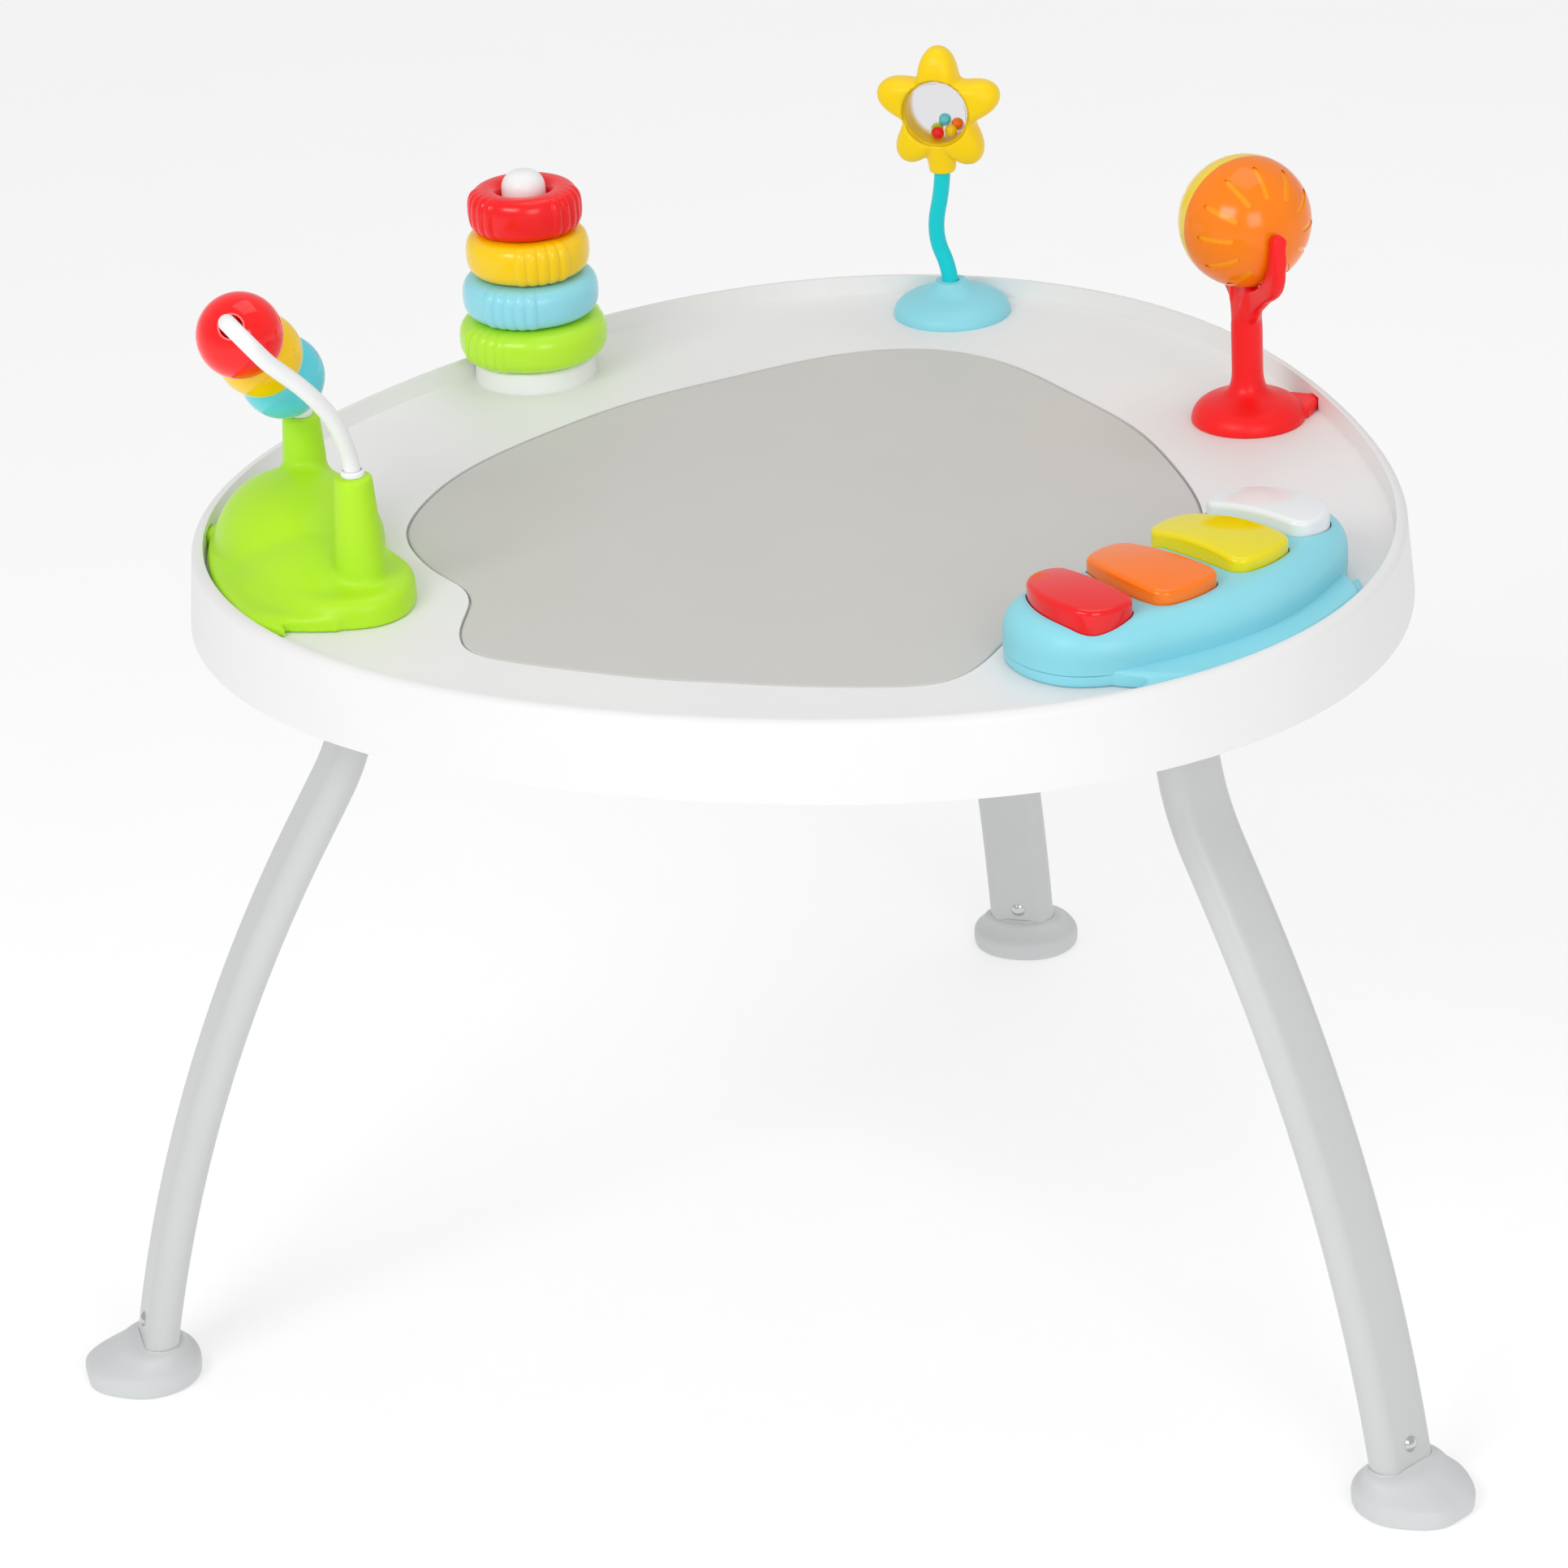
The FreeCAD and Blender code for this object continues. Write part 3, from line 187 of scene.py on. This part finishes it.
def slotted(mat, rgb):
    """Lighter radial slots round each pole of the spinner ball."""
    tree = mat.node_tree
    shader = tree.nodes["Principled BSDF"]
    old = shader.inputs["Base Color"].links[0].from_socket
    coords = tree.nodes.new("ShaderNodeTexCoord")
    low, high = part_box("ball_orange")
    low2, high2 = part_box("ball_yellow")
    centre = (low + high + low2 + high2) / 4

    def math_node(kind, a, b=None):
        node = tree.nodes.new("ShaderNodeMath")
        node.operation = kind
        for slot, value in zip(node.inputs, (a, b)):
            if isinstance(value, (int, float)):
                slot.default_value = value
            elif value is not None:
                tree.links.new(value, slot)
        return node.outputs[0]

    def along(direction):
        shift = tree.nodes.new("ShaderNodeVectorMath")
        shift.operation = "SUBTRACT"
        shift.inputs[1].default_value = tuple(centre)
        tree.links.new(coords.outputs["Object"], shift.inputs[0])
        dot = tree.nodes.new("ShaderNodeVectorMath")
        dot.operation = "DOT_PRODUCT"
        dot.inputs[1].default_value = direction
        tree.links.new(shift.outputs[0], dot.inputs[0])
        return dot.outputs["Value"]

    a = math.radians(BALL_AZ)
    across, rise = along((math.cos(a), math.sin(a), 0.0)), along((0.0, 0.0, 1.0))
    reach = math_node("ADD", math_node("MULTIPLY", across, across), math_node("MULTIPLY", rise, rise))
    reach = math_node("SQRT", reach)
    turn = math_node("MULTIPLY", math_node("ARCTAN2", rise, across), SLOT_REPEAT)
    side = math_node("MULTIPLY", math_node("SINE", turn), math_node("DIVIDE", reach, SLOT_REPEAT))
    past = math_node("MAXIMUM", math_node("SUBTRACT", SLOT_START, reach), math_node("SUBTRACT", reach, SLOT_END))
    past = math_node("MAXIMUM", past, 0.0)
    away = math_node("ADD", math_node("MULTIPLY", side, side), math_node("MULTIPLY", past, past))
    inside = math_node("LESS_THAN", math_node("SQRT", away), SLOT_HALF_WIDTH)
    mix = tree.nodes.new("ShaderNodeMix")
    mix.data_type = "RGBA"
    tree.links.new(inside, mix.inputs["Factor"])
    colour_a, colour_b = [socket for socket in mix.inputs if socket.type == "RGBA"]
    tree.links.new(old, colour_a)
    colour_b.default_value = (*linear(*rgb), 1.0)
    mixed = next(socket for socket in mix.outputs if socket.type == "RGBA")
    tree.links.new(mixed, shader.inputs["Base Color"])


def painted_glow(mat, rgb, strength):
    """Painted glow: the plastic gives off a little light of its own, so that deep bores keep their colour instead
    of going dark in shade.
    """
    shader = mat.node_tree.nodes["Principled BSDF"]
    shader.inputs["Emission Color"].default_value = (*linear(*rgb), 1.0)
    shader.inputs["Emission Strength"].default_value = strength


see_through(M["clear"])
# painted glow on the red beads, standing in for light that reaches into their bores
painted_glow(M["bead_red"], (242, 8, 14), 0.1)
slotted(M["orange_clear"], (255, 160, 10))
slotted(M["yellow_clear"], (250, 200, 20))


def paint(mat, *names):
    """Give CAD nodes their material."""
    for name in names:
        mesh = nodes[name].data
        mesh.materials.clear()
        mesh.materials.append(mat)


SIDES = ("left", "right", "back")
paint(M["tray"], "tray_shell")
paint(M["cover"], "tray_cover")
paint(M["leg"], *["leg_tube_" + s for s in SIDES])
paint(M["socket"], *["leg_socket_" + s for s in SIDES])
paint(M["foot"], *["foot_" + s for s in SIDES])
paint(M["rivet"], "foot_rivets")
paint(M["screw"], "socket_screws", "toy_screws", "ball_pins", *["lock_button_" + s for s in SIDES])
paint(M["white"], "stacker_base", "stacker_post", "bead_wire", "wire_collars")
paint(M["blue"], "star_base", "piano_lower", "piano_upper", "battery_door")
paint(M["teal"], "star_stalk")
paint(M["yellow"], "star_front", "star_back")
paint(M["clear"], "star_window")
paint(M["bead_red"], "star_beads")
paint(M["red"], "ball_stand_inner", "ball_stand_outer")
paint(M["orange_clear"], "ball_orange")
paint(M["yellow_clear"], "ball_yellow")
paint(M["lime"], "bead_base")
for colour in ("lime", "blue", "yellow", "red"):
    paint(M["ring_" + colour], "ring_" + colour + "_lower", "ring_" + colour + "_upper")
for colour in ("blue", "yellow", "red"):
    paint(M["bead_" + colour], "bead_" + colour)
for colour in ("red", "orange", "yellow", "white"):
    paint(M["key_" + colour], "key_" + colour)
paint(M["board"], "sound_board")
paint(M["black"], "speaker")
paint(M["cell"], "batteries")


# ------------------------------------------------------------------ building pieces
SLOT_OF = {"ring_lime": "lime_plastic", "ring_blue": "blue_plastic", "ring_yellow": "yellow_plastic",
           "ring_red": "red_plastic", "leg": "leg_grey"}


def add_object(name, mesh, body):
    obj = bpy.data.objects.new(name, mesh)
    bpy.context.scene.collection.objects.link(obj)
    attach(obj, body)
    return obj


def applied(obj):
    """Replace the object's mesh by the result of its modifiers."""
    depsgraph = bpy.context.evaluated_depsgraph_get()
    mesh = bpy.data.meshes.new_from_object(obj.evaluated_get(depsgraph))
    obj.modifiers.clear()
    obj.data = mesh


def smooth_shading(mesh):
    mesh.polygons.foreach_set("use_smooth", [True] * len(mesh.polygons))


def skin(bm, rows, ring=False):
    """Faces between neighbouring closed rows of vertices; with ring, the last row joins the first."""
    for k in range(len(rows) if ring else len(rows) - 1):
        row, following = rows[k], rows[(k + 1) % len(rows)]
        for m in range(len(row)):
            n = (m + 1) % len(row)
            bm.faces.new((row[m], row[n], following[n], following[m])).smooth = True


def piece(bm, name, mat, body, slot, *replaced):
    """Make a built shape a piece on a body, in place of CAD nodes."""
    bmesh.ops.recalc_face_normals(bm, faces=bm.faces)
    mesh = bpy.data.meshes.new(name)
    bm.to_mesh(mesh)
    bm.free()
    mesh.materials.append(mat)
    obj = add_object(name, mesh, body)
    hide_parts(*replaced)


def softened(name, body, mat, voxel, passes, sources, extra=None, weight=None, reshape=None):
    """Copy of moulded parts, run together so that their joins flow into one another.

    extra is a shape to run in with them, weight says how free a point is to relax,
    and reshape moves the points of the copies first.
    """
    bm = extra or bmesh.new()
    for source in sources:
        bm.from_mesh(nodes[source].data)
    if reshape:
        for vert in bm.verts:
            vert.co = reshape(vert.co)
    mesh = bpy.data.meshes.new(name)
    bm.to_mesh(mesh)
    bm.free()
    obj = add_object(name, mesh, body)
    remesh = obj.modifiers.new("even", "REMESH")
    remesh.mode = "VOXEL"
    remesh.voxel_size = voxel
    applied(obj)
    relax = obj.modifiers.new("relax", "SMOOTH")
    relax.factor = 0.5
    relax.iterations = passes
    if weight:
        free = obj.vertex_groups.new(name="free")
        for vert in obj.data.vertices:
            free.add([vert.index], weight(vert.co), "REPLACE")
        relax.vertex_group = "free"
    applied(obj)
    obj.vertex_groups.clear()
    obj.data.materials.clear()
    obj.data.materials.append(mat)
    smooth_shading(obj.data)
    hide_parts(*sources)
    return obj


# ------------------------------------------------------------------ places on the tray
CENTRE_Y = -0.06525                             # middle of the tray's circle, where toy distances start
TRAY_R, TRAY_WAVES = 0.34, (0.0293, 0.0082, -0.0519)
RIM_WALL, RIM_GAP = 0.0075, 0.0014
DECK_Z, ON_DECK = 0.490, 0.4902                 # the deck, and just clear of it
BEAD_AZ, PIANO_AZ = -150.0, -30.0


def wall_radius(theta):
    """Outer radius of the tray at an angle from its front."""
    a, b, c = TRAY_WAVES
    return TRAY_R * (1 + a * math.cos(theta) + b * math.cos(2 * theta) + c * math.cos(3 * theta))


def toy_place(az, u, v):
    """Place on the tray from a toy's own radial and sideways distances."""
    a = math.radians(az)
    return Vector((u * math.cos(a) - v * math.sin(a), u * math.sin(a) + v * math.cos(a) + CENTRE_Y, 0.0))


def rim_point(az, along, inset, z):
    """Point inside the rim, by side offset from a toy's radial line and distance from the wall."""
    mean_r = 0.33
    theta = math.radians(az + 90.0) + math.asin(along / mean_r)
    r = wall_radius(theta) - RIM_WALL - inset
    return Vector((r * math.sin(theta), -r * math.cos(theta) + CENTRE_Y, z))


def off_deck(co):
    """0 along the edge that rests on the tray, 1 from a centimetre above it."""
    return min(1.0, max(0.0, (co.z - 0.493) / 0.008))


# ------------------------------------------------------------------ bead base and piano tray
def apron(az, low, high, depth, height):
    """Skirt that fills the space between a toy and the tray rim and fades away past its tabs."""
    bm = bmesh.new()
    steps, fade, gap, least = 48, 0.034, 0.0012, 0.004
    rows = []
    for k in range(steps + 1):
        v = low - fade + (high - low + 2 * fade) * k / steps
        past = max(0.0, low - v, v - high) / fade
        outer = gap + (depth - gap - least) * past ** 1.3
        corners = ((outer, 0.0), (outer, height), (depth, height * 1.15), (depth, 0.0))
        rows.append([bm.verts.new(rim_point(az, v, inset, ON_DECK + rise)) for inset, rise in corners])
    skin(bm, rows)
    bm.faces.new(rows[0])
    bm.faces.new(list(reversed(rows[-1])))
    bmesh.ops.recalc_face_normals(bm, faces=bm.faces)
    return bm


def swelling(bm, az, u, v, size):
    """Add a low rounded swelling that stands on the tray, inside its rim."""
    place = Matrix.Translation(toy_place(az, u, v) + Vector((0, 0, DECK_Z)))
    shape = place @ Matrix.Rotation(math.radians(az), 4, "Z") @ Matrix.Diagonal((*size, 1.0))
    for vert in bmesh.ops.create_icosphere(bm, subdivisions=5, radius=1.0, matrix=shape)["verts"]:
        vert.co.z = max(vert.co.z, ON_DECK)
        x, y = vert.co.x, vert.co.y - CENTRE_Y
        r = math.hypot(x, y)
        limit = wall_radius(math.atan2(x, -y)) - RIM_WALL - RIM_GAP
        if r > limit:
            vert.co.x, vert.co.y = x * limit / r, y * limit / r + CENTRE_Y


FRONT_POST, REAR_POST = (0.2779, 0.0605, 0.514), (0.2881, -0.0425, 0.543)      # u, v and height of the foot


def hill_weight(co):
    """Free everywhere but on the two posts and along the bottom edge."""
    post_r, held = 0.0165, 0.05
    for u, v, foot_z in (FRONT_POST, REAR_POST):
        post = toy_place(BEAD_AZ, u, v)
        if math.hypot(co.x - post.x, co.y - post.y) < post_r and co.z > foot_z:
            return held
    return off_deck(co)


def toy_bases():
    """The bead base's hill and the piano's lower tray, each run out to the tray rim."""
    grain = 0.0012
    skirt = apron(BEAD_AZ, -0.064, 0.064, 0.042, 0.0085)
    swelling(skirt, BEAD_AZ, 0.300, -0.024, (0.047, 0.064, 0.049))
    swelling(skirt, BEAD_AZ, 0.298, -0.005, (0.044, 0.090, 0.034))
    hill = softened("bead_hill", "frame", M["lime"], grain, 80, ["bead_base"], skirt, hill_weight)
    lip = apron(PIANO_AZ, -0.062, 0.068, 0.036, 0.009)
    tray_of_keys = softened("piano_tray", "frame", M["blue"], grain, 30, ["piano_lower"], lip, off_deck)


toy_bases()


# ------------------------------------------------------------------ ball yoke
STEM = toy_place(BALL_AZ, 0.2676, 0.0)
BALL_Z, BALL_CLEAR, STEM_R = 0.612, 0.0412, 0.0096


def yoke_weight(co):
    """Free along the web and the outer bends, nearly still at the pivots."""
    return off_deck(co) if co.z < 0.597 else 0.25


def lifted_web(co):
    """Raise the underside of the yoke so that it meets the stem close under the ball."""
    low, high, lift, fade = 0.530, 0.590, 0.0105, 0.03
    a = math.radians(BALL_AZ)
    x, y = co.x - STEM.x, co.y - STEM.y
    off_axis, through = math.hypot(x, y), abs(x * math.cos(a) + y * math.sin(a))
    on_stem = off_axis < STEM_R and through > 0.0045
    near_ball = math.hypot(off_axis, co.z - BALL_Z) < BALL_CLEAR
    if on_stem or near_ball or off_axis > 0.06 or not low < co.z < high:
        return co
    return Vector((co.x, co.y, co.z + lift * min(1.0, (high - co.z) / fade)))


def ball_yoke():
    """Both mouldings of the ball stand as one, with a full web between stem and arms."""
    web = bmesh.new()
    place = Matrix.Translation(STEM + Vector((0, 0, 0.5545))) @ Matrix.Rotation(math.radians(BALL_AZ), 4, "Z")
    size = Matrix.Diagonal((0.0080, 0.0165, 0.0165, 1.0))
    bmesh.ops.create_icosphere(web, subdivisions=4, radius=1.0, matrix=place @ size)
    sources = ["ball_stand_inner", "ball_stand_outer"]
    yoke = softened("ball_yoke", "frame", M["red"], 0.0009, 26, sources, web, yoke_weight, lifted_web)


ball_yoke()


# ------------------------------------------------------------------ star
STALK_FOOT, STALK_HEAD = (-0.0015, 0.24575), (-0.0037, 0.24375)
WINDOW = Vector((-0.0044, 0.24375, 0.6212))


def star_shell():
    """Both shells of the star as one, with its neck closed round the stalk."""
    neck = bmesh.new()
    place = Matrix.Translation((*STALK_HEAD, 0.5925))
    bmesh.ops.create_cone(neck, cap_ends=True, segments=40, radius1=0.0082, radius2=0.0106, depth=0.0165,
                          matrix=place)
    shell = softened("star_shell", "star", M["yellow"], 0.0009, 5, ["star_front", "star_back"], neck)


def stalk():
    """Stalk: a round tube swept along a fixed curved line from its foot up to the star's neck."""
    data = bpy.data.curves.new("stalk_line", "CURVE")
    data.dimensions = "3D"
    data.resolution_u = 16
    data.bevel_depth = 0.0049
    data.bevel_resolution = 8
    data.use_fill_caps = True
    route = [(*STALK_FOOT, 0.502), (*STALK_FOOT, 0.517), (-0.0115, 0.24515, 0.541),
             (*STALK_HEAD, 0.574), (*STALK_HEAD, 0.588)]
    spline = data.splines.new("NURBS")
    spline.points.add(len(route) - 1)
    for point, place in zip(spline.points, route):
        point.co = (*place, 1.0)
    spline.order_u = 3
    spline.use_endpoint_u = True
    line = bpy.data.objects.new("stalk_line", data)
    bpy.context.scene.collection.objects.link(line)
    depsgraph = bpy.context.evaluated_depsgraph_get()
    mesh = bpy.data.meshes.new_from_object(line.evaluated_get(depsgraph))
    bpy.data.objects.remove(line)
    mesh.materials.clear()
    mesh.materials.append(M["teal"])
    smooth_shading(mesh)
    obj = bpy.data.objects.new("star_stalk_tube", mesh)
    bpy.context.scene.collection.objects.link(obj)
    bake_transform(obj)
    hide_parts("star_stalk")


def rattle_beads():
    """Five small bored beads in different colours, resting at the bottom of the window."""
    mm, turns = 0.001, 28
    beads = [((-2.6, 4.0, -14.1), "ring_lime"), ((-0.3, -4.0, -13.7), "bead_red"), ((2.4, 4.0, -7.9), "bead_blue"),
             ((10.2, 3.6, -10.2), "key_orange"), ((7.9, -4.0, -12.2), "bead_yellow")]
    profile = [(0.8, -3.6), (1.6, -3.55), (2.8, -2.8), (3.6, -1.6), (3.9, 0.0), (3.6, 1.6), (2.8, 2.8),
               (1.6, 3.55), (0.8, 3.6), (0.8, 0.0)]
    mesh = bpy.data.meshes.new("rattle_beads")
    bm = bmesh.new()
    for index, (spot, key) in enumerate(beads):
        mesh.materials.append(M[key])
        lean = Matrix.Rotation(0.9 + 1.7 * index, 4, "X") @ Matrix.Rotation(0.6 * index, 4, "Y")
        rows = []
        for k in range(turns):
            a = 2 * math.pi * k / turns
            spots = [lean @ Vector((r * math.cos(a), r * math.sin(a), z)) + Vector(spot) for r, z in profile]
            rows.append([bm.verts.new(WINDOW + place * mm) for place in spots])
        done = len(bm.faces)
        skin(bm, rows, ring=True)
        bm.faces.ensure_lookup_table()
        for face in bm.faces[done:]:
            face.material_index = index
    bmesh.ops.recalc_face_normals(bm, faces=bm.faces)
    bm.to_mesh(mesh)
    bm.free()
    obj = add_object("star_rattle_beads", mesh, "star_rattle")
    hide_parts("star_beads")


star_shell()
stalk()
rattle_beads()


# ------------------------------------------------------------------ ring stacker
STACK = Vector((-0.22588, 0.10558, 0.0))
RINGS = {"lime": (0.0890, -118, 62), "blue": (0.0818, -91, 89), "yellow": (0.0742, -57, 123),
         "red": (0.0660, -10.5, -139)}          # outer diameter and the bearings of its two groups of ribs
RING_HOLE_R, RING_HALF, RING_PITCH, RING_Z0 = 0.0143, 0.0131, 0.0266, 0.5033
RIB_PITCH, RIB_COUNT, RIB_DEPTH = 0.0070, 5, 0.0014
SEAM_DROP, SEAM_DEPTH, SEAM_WIDTH = 0.0045, 0.00035, 0.0004
POST_R, POST_SHOULDER, POST_DOME = 0.0132, 0.6085, 0.0110
POST_SLOT = "white_plastic"


def around(r, angle, z):
    """Point round the axis of the stack."""
    return STACK + Vector((r * math.cos(angle), r * math.sin(angle), z))


def rib_swell(theta, radius, bearings):
    """Height of the finger ribs, 0 to 1, at an angle round a ring."""
    for az in bearings:
        off = (theta - math.radians(az) + math.pi) % (2 * math.pi) - math.pi
        s = off * radius / RIB_PITCH
        if abs(s) < RIB_COUNT / 2:
            return abs(math.cos(math.pi * (s - round(s)))) ** 0.7
    return 0.0


def plump_ring(colour, index):
    """Stacking ring: plump section, two groups of five soft ribs, fine seam low on its side."""
    diameter, *bearings = RINGS[colour]
    middle, width = (diameter / 2 + RING_HOLE_R) / 2, (diameter / 2 - RING_HOLE_R) / 2
    centre_z = RING_Z0 + RING_PITCH * index + RING_HALF
    points, turns, power = 64, 480, 2 / 2.7
    section = []
    for k in range(points):
        c, s = math.cos(2 * math.pi * k / points), math.sin(2 * math.pi * k / points)
        r = middle + width * math.copysign(abs(c) ** power, c)
        z = RING_HALF * math.copysign(abs(s) ** power, s)
        side = min(1.0, max(0.0, (c + 0.1) / 0.5))
        side = side * side * (3 - 2 * side)     # 0 towards the hole, 1 on the outside
        groove = SEAM_DEPTH * math.exp(-((z + SEAM_DROP) / SEAM_WIDTH) ** 2) * (c > 0)
        section.append((r - groove, z, RIB_DEPTH * side))
    bm = bmesh.new()
    rows = []
    for k in range(turns):
        theta = 2 * math.pi * k / turns
        swell = rib_swell(theta, diameter / 2, bearings)
        rows.append([bm.verts.new(around(r + rib * swell, theta, centre_z + z)) for r, z, rib in section])
    skin(bm, rows, ring=True)
    name = "ring_" + colour
    piece(bm, name, M[name], name, SLOT_OF[name], name + "_lower", name + "_upper")


def post_cap():
    """Stacker post with a gently domed top."""
    turns, steps = 64, 16
    outline = [(0.0092, 0.4906), (POST_R, 0.5036), (POST_R, POST_SHOULDER)]
    for k in range(1, steps):
        t = math.pi / 2 * k / steps
        outline.append((POST_R * math.cos(t) ** 0.8, POST_SHOULDER + POST_DOME * math.sin(t)))
    bm = bmesh.new()
    rows = [[bm.verts.new(around(r, 2 * math.pi * m / turns, z)) for m in range(turns)] for r, z in outline]
    skin(bm, rows)
    tip = bm.verts.new(around(0.0, 0.0, POST_SHOULDER + POST_DOME))
    for m in range(turns):
        bm.faces.new((rows[-1][m], rows[-1][(m + 1) % turns], tip)).smooth = True
    bm.faces.new(list(reversed(rows[0])))
    piece(bm, "post_cap", M["white"], "frame", POST_SLOT, "stacker_post")


post_cap()
for ring_index, ring_colour in enumerate(RINGS):
    plump_ring(ring_colour, ring_index)


# ------------------------------------------------------------------ legs
LEG_R = 0.2754                                  # distance of the legs' tops from the middle
KNEE_R, KNEE_TURN, KNEE_Z = 0.144, 30.1, 0.4317
STRAIGHT, SWEEP_R, SWEEP_TURN = 0.0356, 0.957, 20.9
TUBE_R, TUBE_HALF_FLAT = 0.010, 0.011


def leg_line():
    """Centreline of a leg in its radial plane: places and leaning angles from the top down."""
    line = [(LEG_R, 0.478, 0.0), (LEG_R, 0.455, 0.0)]
    knee_steps, sweep_steps = 24, 40
    for k in range(knee_steps + 1):
        lean = math.radians(KNEE_TURN * k / knee_steps)
        line.append((LEG_R + KNEE_R * (1 - math.cos(lean)), KNEE_Z - KNEE_R * math.sin(lean), lean))
    u, z, lean = line[-1]
    u, z = u + STRAIGHT * math.sin(lean), z - STRAIGHT * math.cos(lean)
    centre_u, centre_z = u - SWEEP_R * math.cos(lean), z - SWEEP_R * math.sin(lean)
    for k in range(sweep_steps + 1):
        angle = math.radians(KNEE_TURN - SWEEP_TURN * k / sweep_steps)
        line.append((centre_u + SWEEP_R * math.cos(angle), centre_z + SWEEP_R * math.sin(angle), angle))
    return line


def leg_tube(side, az):
    """Flat-oval tube swept down the leg line."""
    points = 48
    section = []
    for k in range(points):
        a = 2 * math.pi * k / points
        flat = TUBE_HALF_FLAT if math.cos(a) > 0 else -TUBE_HALF_FLAT
        section.append((TUBE_R * math.sin(a), flat + TUBE_R * math.cos(a)))
    bm = bmesh.new()
    rows = []
    for u, z, lean in leg_line():
        rows.append([])
        for across, along in section:
            place = toy_place(az, u + across * math.cos(lean), along)
            rows[-1].append(bm.verts.new(place + Vector((0, 0, z + across * math.sin(lean)))))
    skin(bm, rows)
    bm.faces.new(rows[0])
    bm.faces.new(list(reversed(rows[-1])))
    piece(bm, "leg_" + side, M["leg"], "frame", SLOT_OF["leg"], "leg_tube_" + side)


for leg_side, leg_az in (("left", -150.0), ("right", -30.0), ("back", 90.0)):
    leg_tube(leg_side, leg_az)


# ------------------------------------------------------------------ stage, lights, camera
def floor():
    """Wide pale floor with a little light of its own, so that it fades into the background."""
    mesh = bpy.data.meshes.new("floor")
    size = 25.0
    corners = [(-size, -size, 0), (size, -size, 0), (size, size, 0), (-size, size, 0)]
    mesh.from_pydata(corners, [], [(0, 1, 2, 3)])
    obj = bpy.data.objects.new("floor", mesh)
    bpy.context.scene.collection.objects.link(obj)
    pale = moulded("floor_pale", (212, 212, 212), 0.85, 0.0, 0.02, 200, 0.004)
    shader = pale.node_tree.nodes["Principled BSDF"]
    shader.inputs["Emission Color"].default_value = (1.0, 1.0, 1.0, 1.0)
    shader.inputs["Emission Strength"].default_value = 0.42
    mesh.materials.append(pale)


def area_light(name, place, target, size, power):
    """Rectangular soft box aimed at a point."""
    data = bpy.data.lights.new(name, "AREA")
    data.shape = "RECTANGLE"
    data.size, data.size_y = size
    data.energy = power
    obj = bpy.data.objects.new(name, data)
    obj.location = place
    obj.rotation_euler = (Vector(target) - Vector(place)).to_track_quat("-Z", "Y").to_euler()
    bpy.context.scene.collection.objects.link(obj)


floor()
area_light("key", (-0.9, -2.6, 2.3), (0, 0, 0.4), (1.6, 1.0), 30)
area_light("fill", (1.6, -2.4, 1.6), (0, 0, 0.4), (1.2, 1.2), 16)
area_light("top", (0.2, 0.4, 2.9), (0, 0, 0.5), (1.6, 1.6), 9)

def studio():
    """Even white surroundings, shown without any film curve."""
    world = bpy.data.worlds.new("studio")
    world.use_nodes = True
    background = world.node_tree.nodes["Background"]
    background.inputs["Color"].default_value = (1.0, 1.0, 1.0, 1.0)
    background.inputs["Strength"].default_value = 0.62
    bpy.context.scene.world = world
    bpy.context.scene.view_settings.view_transform = "Standard"


def camera():
    """Long-lens view from the front right, given by its place and its right, up and backward directions."""
    data = bpy.data.cameras.new("photo_camera")
    data.sensor_width = 36.0
    data.lens = 137.909
    data.clip_end = 30.0
    cam = bpy.data.objects.new("photo_camera", data)
    bpy.context.scene.collection.objects.link(cam)
    right = (0.962315, 0.267642, -0.048152)
    up = (-0.068900, 0.411258, 0.908911)
    back = (0.263066, -0.871341, 0.414200)
    place = (0.890977, -3.121598, 1.761704)
    cam.matrix_world = Matrix([*zip(right, up, back, place), (0, 0, 0, 1)])
    bpy.context.scene.camera = cam


studio()
camera()
